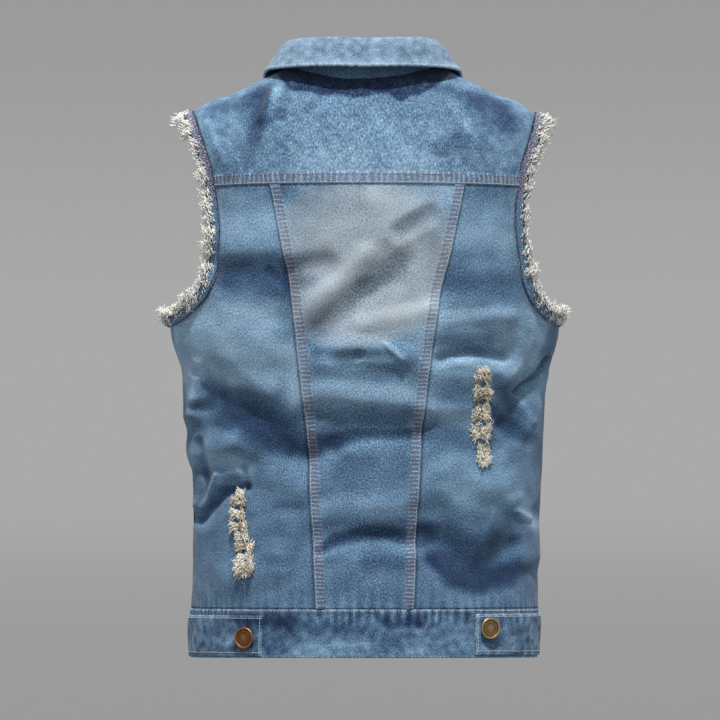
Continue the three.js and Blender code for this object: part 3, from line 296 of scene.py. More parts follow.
# Wear and painted shading: soft strokes where the colour is paler, or darker where the amount is below zero,
# by line, half width and amount. On the back they are partly washed-out dye and partly painted: shade of
# folds and under the waist seam, and light where the form turns from the key light.
BACK_WEAR_AND_PAINTED_SHADING = [
    # Yoke
    (-55, -102, 60, -104, 34, 0.6), (-50, -68, 75, -70, 34, 0.25), (15, -118, 90, -118, 14, 0.4),
    (-160, -36, -100, -18, 13, -0.6), (75, -12, 150, -32, 12, -0.5), (-150, -84, -140, -96, 13, -0.4),
    (-112, -24, -104, -40, 22, -0.7), (-120, -44, -113, -72, 14, -0.3), (122, -30, 150, -50, 28, -0.6),
    # Centre panel
    (-70, -338, 65, -337, 25, 0.85), (-30, -296, 60, -283, 34, 0.6), (40, -253, 70, -261, 24, 0.5),
    # The darker strokes in the bleached patch are painted shade of its folds
    (-45, -458, 40, -458, 16, 0.4), (5, -516, 50, -518, 15, -0.4), (28, -222, 50, -214, 13, -0.4),
    (20, -128, 84, -132, 26, 0.9), (40, -205, -12, -240, 13, -0.4),
    # Painted shade under the waist seam
    (25, -577, 60, -577, 10, -0.8),
    # Left side panel
    (-148, -160, -96, -160, 46, 0.8), (-175, -259, -110, -256, 40, 0.8), (-190, -303, -78, -305, 34, 1.2),
    (-178, -404, -126, -414, 20, 0.75), (-140, -322, -98, -330, 14, 0.5),
    # Painted light on the side seam and flank, where the form turns from the key light
    (-196, -262, -188, -300, 13, 0.9), (-192, -318, -182, -340, 18, 0.5),
    # The stroke at the waist seam is painted shade under it
    (-78, -222, -56, -218, 12, -0.6), (-130, -578, -78, -577, 13, -1.0), (-190, -560, -186, -568, 12, -0.4),
    # Right side panel
    (112, -166, 158, -168, 50, 0.7), (82, -253, 172, -259, 44, 0.75), (75, -303, 150, -309, 27, 0.9),
    (160, -290, 190, -330, 30, 0.6), (75, -416, 168, -421, 34, 0.4), (68, -441, 112, -445, 16, 0.3),
    # The stroke at the side seam is painted light, where the form turns from the key light
    (108, -449, 160, -449, 20, 0.35), (190, -262, 184, -300, 13, 0.9),
    (172, -460, 184, -478, 12, 0.9), (68, -356, 112, -362, 18, 0.8), (118, -380, 130, -396, 14, 0.3),
]
FRONT_WEAR = [
    (-150, -142, -60, -130, 54, 0.7), (150, -142, 60, -130, 54, 0.7), (-170, -250, -60, -240, 46, 0.8),
    (170, -250, 60, -240, 46, 0.8), (-160, -300, -50, -330, 34, 0.7), (160, -310, 60, -325, 34, 0.7),
    (-130, -420, -60, -430, 40, 0.5), (130, -425, 60, -420, 40, 0.5), (-120, -520, -60, -535, 30, -0.5),
    (70, -520, 140, -530, 30, -0.6),
]
# Bleached patch: centre, half sizes and strength
BLEACH = [(2, -185, 96, 78, 1.0), (-10, -245, 74, 44, 0.9), (40, -215, 60, 60, 0.7)]


def read_table(table, key, at, column):
    """Smooth reading of a table: a cubic through its rows, with their neighbours' slopes."""
    keys, values = np.array(table[key], float), np.array(table[column], float)
    if keys[0] > keys[-1]:
        keys, values = keys[::-1], values[::-1]
    rows = np.arange(len(keys))
    low, high = np.maximum(rows - 1, 0), np.minimum(rows + 1, len(keys) - 1)
    slopes = (values[high] - values[low]) / (keys[high] - keys[low])
    at = np.clip(at, keys[0], keys[-1])
    k = np.clip(np.searchsorted(keys, at) - 1, 0, len(keys) - 2)
    step = keys[k + 1] - keys[k]
    t = (at - keys[k]) / step
    rising = (1 + 2 * t) * (1 - t) ** 2 * values[k] + t * (1 - t) ** 2 * step * slopes[k]
    return rising + t * t * (3 - 2 * t) * values[k + 1] + t * t * (t - 1) * step * slopes[k + 1]


def by_side(value, table, key, at):
    """Reads the left or the right column, by the sign of a value."""
    left, right = (read_table(table, key, at, side) for side in ("left", "right"))
    return np.where(value < 0, left, right)


def signed_power(value, power):
    """A power that keeps the sign."""
    return np.sign(value) * np.abs(value) ** power


def bent_height(x, height, base):
    """Height of the cloth where it bends over to the shoulder line."""
    turn = QUARTER * height / base
    return base + (read_table(SHOULDER, "across", np.abs(x), "height") - base) * np.cos(turn)


def body_point(angle, height):
    """The smooth body of the vest, without folds."""
    angle, height = np.broadcast_arrays(np.asarray(angle, float), np.asarray(height, float))
    s, c = np.sin(angle), np.cos(angle)
    back = c >= 0
    x = by_side(s, SECTIONS, "height", height) * signed_power(s, 2 / SECTION_POWER)
    back_depth = read_table(SECTIONS, "height", height, "back")
    depth = np.where(back, back_depth, read_table(SECTIONS, "height", height, "front"))
    y = -depth * signed_power(c, 2 / SECTION_POWER)
    rise = read_table(SECTIONS, "height", height, "rise") * c
    base = np.where(back, BACK_BEND, FRONT_BEND)
    turn = QUARTER * np.clip(height / base, 0, 1)
    ridge_y = read_table(SHOULDER, "across", np.abs(x), "forward")
    bent_y = ridge_y + (y - ridge_y) * np.sin(turn) ** np.where(back, 1, FRONT_BEND_POWER)
    bent = height > base
    z = np.where(bent, bent_height(x, height, base), height) + rise
    return np.stack([x, np.where(bent, bent_y, y), z], -1)


def unit(vectors):
    """Vectors brought to length one."""
    return vectors / np.maximum(np.linalg.norm(vectors, axis=-1, keepdims=True), 1e-9)


def body_normal(angle, height):
    """Outward direction of the smooth body."""
    step_angle, step_height = 0.02, 3
    along = body_point(angle + step_angle, height) - body_point(angle - step_angle, height)
    up = body_point(angle, np.minimum(0, height + step_height)) - body_point(angle, height - step_height)
    facing = np.where(np.cos(angle) >= 0, 1.0, -1.0)[..., None]
    over_ridge = np.cross(along, [0.0, 1.0, 0.0]) * facing
    return unit(np.where(np.asarray(height)[..., None] > -0.5, over_ridge, np.cross(along, up)))


def sum_strokes(x, z, strokes, column, lean=0.0):
    """Sum of soft strokes at points of the cloth, weighted by one of their columns.

    A fold is darkest above its bottom and brightest above its crest, so lean moves it below its line.
    """
    total = np.zeros(np.shape(x))
    for stroke in strokes:
        x1, z1, x2, z2, wide = stroke[:5]
        dx, dz = x2 - x1, z2 - z1
        z1 = z1 - lean * wide * abs(dx) / math.hypot(dx, dz)
        t = np.clip(((x - x1) * dx + (z - z1) * dz) / (dx * dx + dz * dz), 0, 1)
        away = np.hypot(x - x1 - dx * t, z - z1 - dz * t) / wide
        total += stroke[column] * np.clip(1 - away * away, 0, 1) ** 2
    return total


def sum_sweeps(x, z, sweeps, column, lean=0.0):
    """The same for long curved folds. Their lower edge is crisper than the upper one."""
    total = np.zeros(np.shape(x))
    for sweep in sweeps:
        nearest = np.full(np.shape(x), 9.0)
        for (x1, z1, wide1), (x2, z2, wide2) in zip(sweep[2], sweep[2][1:]):
            dx, dz = x2 - x1, z2 - z1
            down = lean * abs(dx) / math.hypot(dx, dz)
            z1, z2 = z1 - down * wide1, z2 - down * wide2
            t = np.clip(((x - x1) * dx + (z - z1) * dz) / (dx * dx + dz * dz), 0, 1)
            wide = wide1 + (wide2 - wide1) * t
            below = np.clip((z1 + dz * t - z) / wide, 0, 1)
            away = np.hypot(x - x1 - dx * t, z - z1 - dz * t) / wide * (1 + CRISP_EDGE * below)
            nearest = np.minimum(nearest, away)
        total += sweep[column] * np.clip(1 - nearest * nearest, 0, 1) ** 2
    return total


def random_waves(seed, count, shortest, longest):
    """Directions, turns and sizes of a sum of waves that crumples the cloth."""
    rng = np.random.default_rng(seed)
    lengths = rng.uniform(shortest, longest, count)
    ways = unit(rng.normal(size=(count, 3))) * (2 * math.pi / lengths)[:, None]
    return ways, rng.uniform(0, 2 * math.pi, count), lengths / lengths.mean()


CRUMPLE = [random_waves(3, 26, 45, 110), random_waves(4, 40, 16, 40)]
CRUMPLE_DEPTHS = [0.55, 0.16]
MOTTLE = random_waves(9, 70, 4, 13)
WEAVE_PER_RADIAN = 146
FOLD_LEAN = 0.38
CREASE_DEPTH = 1.3
SWEEP_DEPTH = 1.2
CRISP_EDGE = 0.7
# The darkest that wear and painted shade together may make the cloth
DARKEST_WASH_AND_SHADE = -1.05
PUCKER_WASH = 0.5
# Seams with puckers: height, how far the puckers reach and their depth
PUCKERS = [(WAIST, 14, 0.5), (YOKE_SEAM, 10, 0.3)]


def seam_puckers(run, height):
    """Small upright ripples beside the level seams, which have shrunk along their thread."""
    wave = np.sin(2 * math.pi * run / 9.5 + 1.7 * np.sin(run / 23) + 0.9 * np.sin(run / 7.1))
    return sum(depth * wave * np.exp(-np.abs(height - seam) / reach) for seam, reach, depth in PUCKERS)


def sum_waves(points, waves):
    """A sum of random waves, about 1 in size."""
    ways, turns, sizes = waves
    return (np.sin(points @ ways.T + turns) * sizes).sum(-1) / math.sqrt(len(turns) / 2)


def crumple(points):
    """Small irregular waves of worn cloth."""
    return sum(depth * sum_waves(points, waves) for waves, depth in zip(CRUMPLE, CRUMPLE_DEPTHS))


def mottle(points):
    """Blotches where doubled cloth has rubbed itself pale in the wash."""
    return sum_waves(points, MOTTLE)


def sum_by_face(points, back, add_up, tables, column, lean=0.0):
    """A sum over the table of the back or of the front, by where each point lies."""
    x, z = points[..., 0], points[..., 2]
    return np.where(back, *(add_up(x, z, table, column, lean) for table in tables))


def cloth_point(angle, height, creased=True):
    """The outer face of the cloth, with its folds, and how much paler its colour is there from worn dye and
    from painted shade and light of the folds.
    """
    angle, height = np.broadcast_arrays(np.asarray(angle, float), np.asarray(height, float))
    points = body_point(angle, height)
    back = np.cos(angle) >= 0
    lean = FOLD_LEAN if creased else 0.0
    fold = sum_by_face(points, back, sum_strokes, (BACK_FOLDS, FRONT_FOLDS), 5, lean)
    wash = sum_by_face(points, back, sum_strokes, (BACK_WEAR_AND_PAINTED_SHADING, FRONT_WEAR), 5)
    if creased:
        creases, sweeps = (BACK_CREASES, FRONT_CREASES), (BACK_SWEEPS, FRONT_SWEEPS)
        puckers = seam_puckers(angle * WEAVE_PER_RADIAN, height)
        fold = fold + CREASE_DEPTH * sum_by_face(points, back, sum_strokes, creases, 5, lean)
        fold = fold + SWEEP_DEPTH * sum_by_face(points, back, sum_sweeps, sweeps, 0, lean)
        fold = fold + crumple(points) + puckers
        # The creases' and sweeps' tone columns are painted shade in troughs and painted light on ridges
        wash = wash + sum_by_face(points, back, sum_strokes, creases, 6)
        wash = wash + sum_by_face(points, back, sum_sweeps, sweeps, 1)
        wash = np.maximum(wash, DARKEST_WASH_AND_SHADE) + PUCKER_WASH * puckers
    return points + body_normal(angle, height) * fold[..., None], wash


def angle_at(x, height, back=True):
    """Angle round the body of the point that lies x from the middle."""
    x, height = np.broadcast_arrays(np.asarray(x, float), np.asarray(height, float))
    share = np.clip(np.abs(x) / by_side(x, SECTIONS, "height", height), 0, 1)
    angle = np.arcsin(share ** (SECTION_POWER / 2))
    return np.where(x < 0, -1, 1) * (angle if back else math.pi - angle)


def height_at(x, z, back=True):
    """Height coordinate of the point that lies at a real height on the bent part."""
    base = BACK_BEND if back else FRONT_BEND
    ridge = read_table(SHOULDER, "across", np.abs(x), "height")
    share = np.clip((z - base) / (ridge - base), 0, 1)
    return np.where(np.asarray(z) <= base, z, np.arccos(share) / QUARTER * base)


def princess_angle(height, sign):
    """The slanted seam on one side of the back."""
    return angle_at(sign * by_side(sign, PRINCESS, "height", height), height)


def grid_normals(points, ring=False):
    """Outward directions of a grid of points, rows upwards and columns round the body."""
    if ring:
        along = np.roll(points, -1, 1) - np.roll(points, 1, 1)
    else:
        along = np.gradient(points, axis=1)
    return unit(np.cross(along, np.gradient(points, axis=0)))


def raised(points, by):
    """A grid of cloth lifted along its outward directions."""
    return points + grid_normals(points) * np.asarray(by)[..., None]


def run_along(points, axis=1):
    """How far each point of a row lies from the first one, along the cloth."""
    steps = np.linalg.norm(np.diff(points, axis=axis), axis=-1)
    return np.insert(np.cumsum(steps, axis), 0, 0, axis)


def grid_faces(rows, columns, ring):
    """Outer, inner and rim faces of a closed shell over a grid."""
    def at(j, i):
        return j * columns + i % columns

    across = range(columns if ring else columns - 1)
    size = rows * columns
    outer = [
        (at(j, i), at(j, i + 1), at(j + 1, i + 1), at(j + 1, i))
        for j in range(rows - 1) for i in across]
    inner = [tuple(size + k for k in reversed(face)) for face in outer]
    edges = [(at(0, i + 1), at(0, i)) for i in across]
    edges += [(at(rows - 1, i), at(rows - 1, i + 1)) for i in across]
    if not ring:
        edges += [(at(j, 0), at(j + 1, 0)) for j in range(rows - 1)]
        edges += [(at(j + 1, columns - 1), at(j, columns - 1)) for j in range(rows - 1)]
    rim = [(a, b, size + b, size + a) for a, b in edges]
    return outer + rim, inner


def set_field(mesh, name, values):
    """Stores one number for each point of a mesh, for its material to read."""
    mesh.attributes.new(name, "FLOAT", "POINT").data.foreach_set("value", np.ravel(values).astype("f"))


def add_mesh(name, points, faces):
    """A smooth mesh object from points in millimetres."""
    mesh = bpy.data.meshes.new(name)
    mesh.from_pydata((np.asarray(points).reshape(-1, 3) * MM).tolist(), [], faces)
    mesh.polygons.foreach_set("use_smooth", [True] * len(mesh.polygons))
    mesh.update()
    piece = bpy.data.objects.new(name, mesh)
    scene.collection.objects.link(piece)
    return piece


# Numbers that the cloth carries for its material, and their usual values. The first also carries painted
# shade and light of the folds, and the last is painted shade.
FIELDS = {"wash": 0.0, "fade": 0.0, "seam": 99.0, "run": 0.0, "edge": 99.0, "dark": 0.0}


def add_cloth(name, points, place, thick=CLOTH, materials=None, ring=False, **fields):
    """A closed shell of cloth on a grid of outer points. place is the weave's (across, up) in mm."""
    rows, columns = points.shape[:2]
    inside = points - grid_normals(points, ring) * thick
    outer, inner = grid_faces(rows, columns, ring)
    piece = add_mesh(name, np.concatenate([points.reshape(-1, 3), inside.reshape(-1, 3)]), outer + inner)
    for key, usual in FIELDS.items():
        values = np.broadcast_to(fields.get(key, usual), (rows, columns)).ravel()
        set_field(piece.data, key, np.concatenate([values, values]))
    across, up = (np.broadcast_to(value, (rows, columns)).ravel() for value in place)
    weave = np.stack([np.tile(across, 2), np.tile(up, 2)], -1) * MM
    loops = np.zeros(len(piece.data.loops), int)
    piece.data.loops.foreach_get("vertex_index", loops)
    piece.data.uv_layers.new(name="weave").data.foreach_set("uv", weave[loops].astype("f").ravel())
    for material in materials or (denim, denim_inside):
        piece.data.materials.append(material)
    sides = [0] * len(outer) + [1] * len(inner)
    piece.data.polygons.foreach_set("material_index", sides)
    return piece


INDIGO_LOW = srgb("#344d6c")
INDIGO_MID = srgb("#5f7e9a")
INDIGO_PALE = srgb("#88acc8")
INDIGO = [
    (0.0, srgb("#1b2a44")), (0.28, INDIGO_LOW), (0.55, INDIGO_MID), (0.8, INDIGO_PALE),
    (1.0, srgb("#b4d0e6")),
]
BLEACHED = [(0.1, srgb("#606f7d")), (0.5, srgb("#a9b8c3")), (0.95, srgb("#d8e2e8"))]
REVERSE = [(0.2, srgb("#6f8397")), (0.55, srgb("#a9b8c4")), (0.9, srgb("#d2dade"))]
FELL_GREY = srgb("#857f8e")
# Colour of the painted shade beside felled edges
PAINTED_SEAM_SHADE = srgb("#141a26")
ROPE_PITCH = 4.4
ROPE_WOBBLE = 9.0
TWILL_PITCH = 2.1
TWILL_SLANT = 0.55
# Noises of the yarn: name, stretch along the warp, scale for each mm, and detail. At these scales slubs
# are about 1.1 mm wide, specks 1.3 mm and clouds 20 mm.
GRAIN_NOISES = [("slub", 0.45, 0.95, 2.0), ("speck", 1.0, 0.75, 2.0), ("cloud", 1.0, 0.05, 5.0)]
# How much each pattern shifts the tone of the dye, about its usual value
GRAIN_SHARES = [("twill", 0.015, 0.0), ("slub", 0.8, 0.5), ("speck", 0.8, 0.5), ("cloud", 0.4, 0.5)]
# Tone of the colour where wear and painted shade add nothing, its step for each unit they add, and the palest
# that wear and painted light give
WASH_AND_SHADE_MIDDLE = 0.5
WASH_AND_SHADE_STEP = 0.36
PALEST_WASH_AND_LIGHT = 0.82


def weave_grain(tree):
    """Places on the cloth, twill lines and uneven yarn.

    The twill lines are 2.1 mm apart across the cloth. About 0.9 mm is assumed for the real twill, which
    the photograph is too coarse to measure.
    """
    place = add_node(tree, "UVMap", uv_map="weave")
    grain = {}
    for name, axis in (("across", "X"), ("up", "Y")):
        metres = add_node(tree, "SeparateXYZ", place, out=axis)
        grain[name] = add_node(tree, "Math", metres, 1 / MM, operation="MULTIPLY")
    slant = add_node(tree, "Math", grain["up"], TWILL_SLANT, grain["across"], operation="MULTIPLY_ADD")
    turn = add_node(tree, "Math", slant, 2 * math.pi / TWILL_PITCH, operation="MULTIPLY")
    grain["twill"] = add_node(tree, "Math", turn, operation="SINE")
    for name, stretch, scale, detail in GRAIN_NOISES:
        up = add_node(tree, "Math", grain["up"], stretch, operation="MULTIPLY")
        there = add_node(tree, "CombineXYZ", grain["across"], up)
        grain[name] = add_node(tree, "TexNoise", {"Vector": there, "Scale": scale, "Detail": detail})
    return grain


def paint_denim():
    """The washed face of the denim: indigo in the hollows, paler on ridges, seams and edges; the folds'
    darker hollows and paler ridges are partly painted shade and light.
    """
    material, tree = new_material("washed_indigo_denim")
    grain = weave_grain(tree)
    field = {name: add_node(tree, "Attribute", attribute_name=name, out="Fac") for name in FIELDS}
    # The field read here holds worn dye together with painted shade and painted light of the folds
    level = add_node(tree, "Math", field["wash"], WASH_AND_SHADE_STEP, WASH_AND_SHADE_MIDDLE, operation="MULTIPLY_ADD")
    level = add_node(tree, "Math", level, PALEST_WASH_AND_LIGHT, operation="MINIMUM")
    for name, share, usual in GRAIN_SHARES:
        level = add_node(tree, "Math", grain[name], share, level, operation="MULTIPLY_ADD")
        level = add_node(tree, "Math", level, share * usual, operation="SUBTRACT")
    # Ropes: short bars across a felled seam, where the cloth puckers and wears
    wobble = add_node(tree, "Math", grain["cloud"], ROPE_WOBBLE, operation="MULTIPLY")
    turn = add_node(tree, "Math", field["run"], 2 * math.pi / ROPE_PITCH, wobble, operation="MULTIPLY_ADD")
    wave = add_node(tree, "Math", turn, operation="SINE")
    wave = add_node(tree, "MapRange", wave, -0.2, 1.0, -0.4, 1.0, **SMOOTH)
    broken = add_node(tree, "MapRange", grain["slub"], 0.35, 0.6, 0.1, 1.3, **SMOOTH)
    bars = add_node(tree, "Math", wave, broken, operation="MULTIPLY")
    inside = add_node(tree, "MapRange", field["seam"], 0.5, 2.5, **SMOOTH)
    before = add_node(tree, "MapRange", field["seam"], 12.5, 9.5, **SMOOTH)
    on_fell = add_node(tree, "Math", inside, before, operation="MULTIPLY")
    ropes = add_node(tree, "Math", bars, on_fell, operation="MULTIPLY")
    level = add_node(tree, "Math", ropes, 0.3, level, operation="MULTIPLY_ADD")
    # Worn edges show the white weft
    worn = add_node(tree, "MapRange", field["edge"], 4.2, 0.8, **SMOOTH)
    flecks = add_node(tree, "MapRange", grain["speck"], 0.3, 0.55, 0.35, 1.0, **SMOOTH)
    roped = add_node(tree, "MapRange", bars, -0.35, 0.7, 0.45, 1.15, **SMOOTH)
    for share in (flecks, roped):
        worn = add_node(tree, "Math", worn, share, operation="MULTIPLY")
    level = add_node(tree, "Math", worn, 0.42, level, operation="MULTIPLY_ADD")
    blue = add_node(tree, "ValToRGB", level, stops=INDIGO)
    grey = add_node(tree, "ValToRGB", level, stops=BLEACHED)
    colour = add_node(tree, "Mix", {0: field["fade"], 6: blue, 7: grey}, **OF_COLOURS)
    greyed = add_node(tree, "Math", on_fell, 0.3, operation="MULTIPLY")
    colour = add_node(tree, "Mix", {0: greyed, 6: colour, 7: FELL_GREY}, **OF_COLOURS)
    # Painted shade beside felled edges, as far as the dark field asks
    colour = add_node(tree, "Mix", {0: field["dark"], 6: colour, 7: PAINTED_SEAM_SHADE}, **OF_COLOURS)
    height = grain["slub"]
    for part, share in ((grain["twill"], 0.1), (grain["speck"], 0.8), (ropes, 0.8)):
        height = add_node(tree, "Math", part, share, height, operation="MULTIPLY_ADD")
    bump = add_node(tree, "Bump", {"Strength": 0.6, "Distance": 0.35 * MM, "Height": height})
    add_node(tree, "OutputMaterial", add_node(tree, "BsdfPrincipled", {
        "Base Color": colour, "Roughness": 0.92, "Specular IOR Level": 0.12, "Sheen Weight": 0.12,
        "Sheen Roughness": 0.5, "Normal": bump}))
    return material


def paint_denim_inside():
    """The reverse of the denim: mostly white weft with a trace of indigo."""
    material, tree = new_material("denim_reverse")
    grain = weave_grain(tree)
    level = add_node(tree, "Math", grain["speck"], 0.5, operation="SUBTRACT")
    level = add_node(tree, "Math", grain["slub"], level, operation="ADD")
    level = add_node(tree, "Math", grain["twill"], 0.12, level, operation="MULTIPLY_ADD")
    colour = add_node(tree, "ValToRGB", level, stops=REVERSE)
    add_node(tree, "OutputMaterial", add_node(tree, "BsdfPrincipled", {
        "Base Color": colour, "Roughness": 0.95, "Specular IOR Level": 0.1, "Sheen Weight": 0.1}))
    return material


denim = paint_denim()
denim_inside = paint_denim_inside()


def inset_shares(count, width):
    """Shares from edge to edge of a panel, with half a seam gap left free at both ends."""
    gap = SEAM_HALF_GAP / width
    return np.linspace(gap, 1 - gap, count)


def bleach_at(points):
    """How far the bleached patch has taken the colour out."""
    x, z = points[..., 0], points[..., 2]
    left = np.ones(x.shape)
    for across, up, wide, tall, strength in BLEACH:
        away = ((x - across) / wide) ** 2 + ((z - up) / tall) ** 2
        left *= 1 - strength * np.clip(1.15 - away, 0, 1) ** 0.8
    return 1 - left


def uneven_ripple(run, pitch, wander, over):
    """A ripple along a seam. Its pitch wanders, as that of real puckers does."""
    return np.sin(2 * math.pi * run / pitch + wander * np.sin(run / over))


def fell_height(distance, run):
    """Height of a felled seam allowance over the cloth, puckered along its stitches."""
    flat = np.clip((FELL_WIDTH + FELL_SLOPE / 2 - distance) / FELL_SLOPE, 0, 1)
    soft = flat * flat * (3 - 2 * flat)
    return soft * (FELL_RISE + FELL_PUCKER * uneven_ripple(run, ROPE_PITCH, 2, 17))


CENTRE_ROWS = 225
CENTRE_HALF = 55
CENTRE_WIDTH = 160


def make_back_centre():
    """The centre panel between its two felled seams."""
    heights = np.linspace(WAIST + SEAM_HALF_GAP, YOKE_SEAM - SEAM_HALF_GAP, CENTRE_ROWS)[:, None]
    left, right = princess_angle(heights, -1), princess_angle(heights, 1)
    angle = left + (right - left) * inset_shares(2 * CENTRE_HALF, CENTRE_WIDTH)
    points, wash = cloth_point(angle, heights)
    from_left = run_along(points)
    seam = np.minimum(from_left, from_left[:, -1:] - from_left)
    points = raised(points, fell_height(seam, heights))
    place = (angle * WEAVE_PER_RADIAN, heights)
    fields = {"wash": wash, "seam": seam, "run": heights, "fade": bleach_at(points)}
    return add_cloth("back_centre_panel", points, place, **fields), points, seam


STITCH_LONG = 2.7
STITCH_PITCH = 3.5
STITCH_WIDE = 0.85
STITCH_RISE = 0.42


def paint_thread(name, colour):
    """Twisted topstitching thread, dulled by the wash."""
    material, tree = new_material(name)
    add_node(tree, "OutputMaterial", add_node(tree, "BsdfPrincipled", {
        "Base Color": colour, "Roughness": 0.75, "Specular IOR Level": 0.25, "Sheen Weight": 0.15}))
    return material


pale_thread = paint_thread("faded_grey_thread", srgb("#d2d2d0"))
mauve_thread = paint_thread("faded_mauve_thread", srgb("#7e6a7c"))


def walk(line, at, where):
    """Points of a line at distances along it."""
    return np.stack([np.interp(where, at, line[:, k]) for k in range(3)], -1)


def trace(points, distance, value):
    """The line on a grid of cloth where a distance along its rows first passes a value."""
    rows = np.arange(len(points))
    distance = np.broadcast_to(distance, points.shape[:2])
    after = np.maximum(np.argmax(distance >= value, axis=1), 1)
    low, high = distance[rows, after - 1], distance[rows, after]
    share = np.clip((value - low) / np.maximum(high - low, 1e-6), 0, 1)[:, None]
    normals = grid_normals(points)
    line, outward = (v[rows, after - 1] * (1 - share) + v[rows, after] * share for v in (points, normals))
    return line, unit(outward)


# Corners of a stitch, as shares of its length, its half width and its rise, and its faces
STITCH_CORNERS = [
    (-0.5, 0.5, -0.2), (-0.5, -0.5, -0.2), (-0.5, 0, 0.1), (-0.2, 1, -0.2), (-0.2, -1, -0.2), (-0.2, 0, 1),
    (0.2, 1, -0.2), (0.2, -1, -0.2), (0.2, 0, 1), (0.5, 0.5, -0.2), (0.5, -0.5, -0.2), (0.5, 0, 0.1),
]
STITCH_FACES = [(0, 1, 2), (9, 11, 10)] + [
    (ring + a, ring + 3 + a, ring + 3 + b, ring + b)
    for ring in (0, 3, 6) for a, b in ((0, 2), (2, 1), (1, 0))]


def add_stitches(name, cloth, lines, material):
    """Rows of stitches along lines of points and outward directions, as one piece on its cloth."""
    centres, along, normals = [], [], []
    for line, outward in lines:
        at = run_along(line, 0)
        middles = np.arange(STITCH_PITCH / 2, at[-1] - STITCH_LONG / 2, STITCH_PITCH)
        centres.append(walk(line, at, middles))
        along.append(walk(line, at, middles + STITCH_LONG / 2) - walk(line, at, middles - STITCH_LONG / 2))
        normals.append(unit(walk(outward, at, middles)))
    centres, along, normals = (np.concatenate(v) for v in (centres, along, normals))
    aside = unit(np.cross(normals, along)) * STITCH_WIDE / 2
    corners = [
        centres + along * length + aside * wide + normals * rise * STITCH_RISE
        for length, wide, rise in STITCH_CORNERS]
    count = len(corners)
    firsts = range(0, count * len(centres), count)
    faces = [tuple(first + corner for corner in face) for first in firsts for face in STITCH_FACES]
    piece = add_mesh(name, np.stack(corners, 1), faces)
    piece.data.materials.append(material)
    piece.parent = cloth


back_centre, centre_points, centre_seam = make_back_centre()
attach(back_centre, "root")
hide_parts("back_centre")
OUTER_ROW = 1.7
INNER_ROW = 9.3
for name, row, thread in (("outer", OUTER_ROW, pale_thread), ("inner", INNER_ROW, mauve_thread)):
    on_left = trace(centre_points[:, :CENTRE_HALF], centre_seam[:, :CENTRE_HALF], row)
    line, outward = trace(
        centre_points[:, CENTRE_HALF:][:, ::-1], centre_seam[:, CENTRE_HALF:][:, ::-1], row)
    centre_lines = [on_left, (line, -outward)]
    add_stitches(f"princess_stitches_{name}", back_centre, centre_lines, thread)


# Back side panels
# The same denim, from the princess seam round to the side seam and up to the cut-off sleeve.
# They lie under the felled edges of the centre panel.
ARMHOLE = {
    "height": [-266, -263, -256, -246, -234, -216, -196, -168, -140, -121, -100, -83, -60, -36, -20],
    "left": [209, 199, 187, 175, 165, 158, 154, 151, 154, 157, 160, 165, 173, 183, 190],
    "right": [211, 203, 191, 182, 174, 168, 165, 161, 161.5, 164.5, 167, 173, 180, 186, 192],
}
ARMHOLE_FRONT_INSET = 8
INSET_FADE_LOW = 40
INSET_FADE_HIGH = 60
ARMHOLE_PASSES = 6
SIDES = {"left": -1, "right": 1}
SIDE_ACROSS = 76
SIDE_WIDTH = 120
SEAM_SHADE = 0.55
SEAM_SHADE_WIDE = 2.2
SIDE_ROWS = (1.6, 7.4)


def armhole_angle(height, sign, back=True):
    """Angle of the armhole seam at a height coordinate."""
    height = np.asarray(height, float)
    base = BACK_BEND if back else FRONT_BEND
    low = np.clip((height - ARMPIT) / INSET_FADE_LOW, 0, 1)
    inset = 0 if back else ARMHOLE_FRONT_INSET * low * np.clip(-height / INSET_FADE_HIGH, 0, 1)
    x = by_side(sign, ARMHOLE, "height", height)
    for _ in range(ARMHOLE_PASSES):
        x = by_side(sign, ARMHOLE, "height", np.where(height <= base, height, bent_height(x, height, base)))
    return np.where(height <= ARMPIT, sign * QUARTER, angle_at(sign * (x - inset), height, back))


def side_heights():
    """Rows of the side panels, close together at the armpit."""
    low = np.linspace(WAIST + SEAM_HALF_GAP, ARMPIT, 128, endpoint=False)
    armpit = np.linspace(ARMPIT, -234, 36, endpoint=False)
    return np.concatenate([low, armpit, np.linspace(-234, YOKE_SEAM - SEAM_HALF_GAP, 56)])[:, None]


def make_back_side(side, sign):
    """One side panel of the back. It is in shade beside the felled edge that lies over it."""
    heights = side_heights()
    inner, outer = princess_angle(heights, sign), armhole_angle(heights, sign)
    left, right = (outer, inner) if sign < 0 else (inner, outer)
    angle = left + (right - left) * inset_shares(SIDE_ACROSS, SIDE_WIDTH)
    points, wash = cloth_point(angle, heights)
    from_left = run_along(points)
    to_princess = from_left if sign > 0 else from_left[:, -1:] - from_left
    # Painted shade beside the felled edge of the centre panel
    dark = SEAM_SHADE * np.clip(1 - to_princess / SEAM_SHADE_WIDE, 0, 1)
    place = (angle * WEAVE_PER_RADIAN, heights)
    piece = add_cloth(f"back_side_panel_{side}", points, place, wash=wash, dark=dark)
    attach(piece, "root")
    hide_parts(f"back_side_{side}")
    return piece, points


side_panels = {side: make_back_side(side, sign) for side, sign in SIDES.items()}


def rows_from_edge(points, flip, values):
    """Stitch lines at distances from a panel's left edge, or its right one if flipped."""
    grid = points[:, ::-1] if flip else points
    lines = [trace(grid, run_along(grid), value) for value in values]
    return [(line, -outward if flip else outward) for line, outward in lines]


for side, (panel, points) in side_panels.items():
    side_rows = rows_from_edge(points, side == "right", SIDE_ROWS)
    add_stitches(f"side_seam_stitches_{side}", panel, side_rows, mauve_thread)


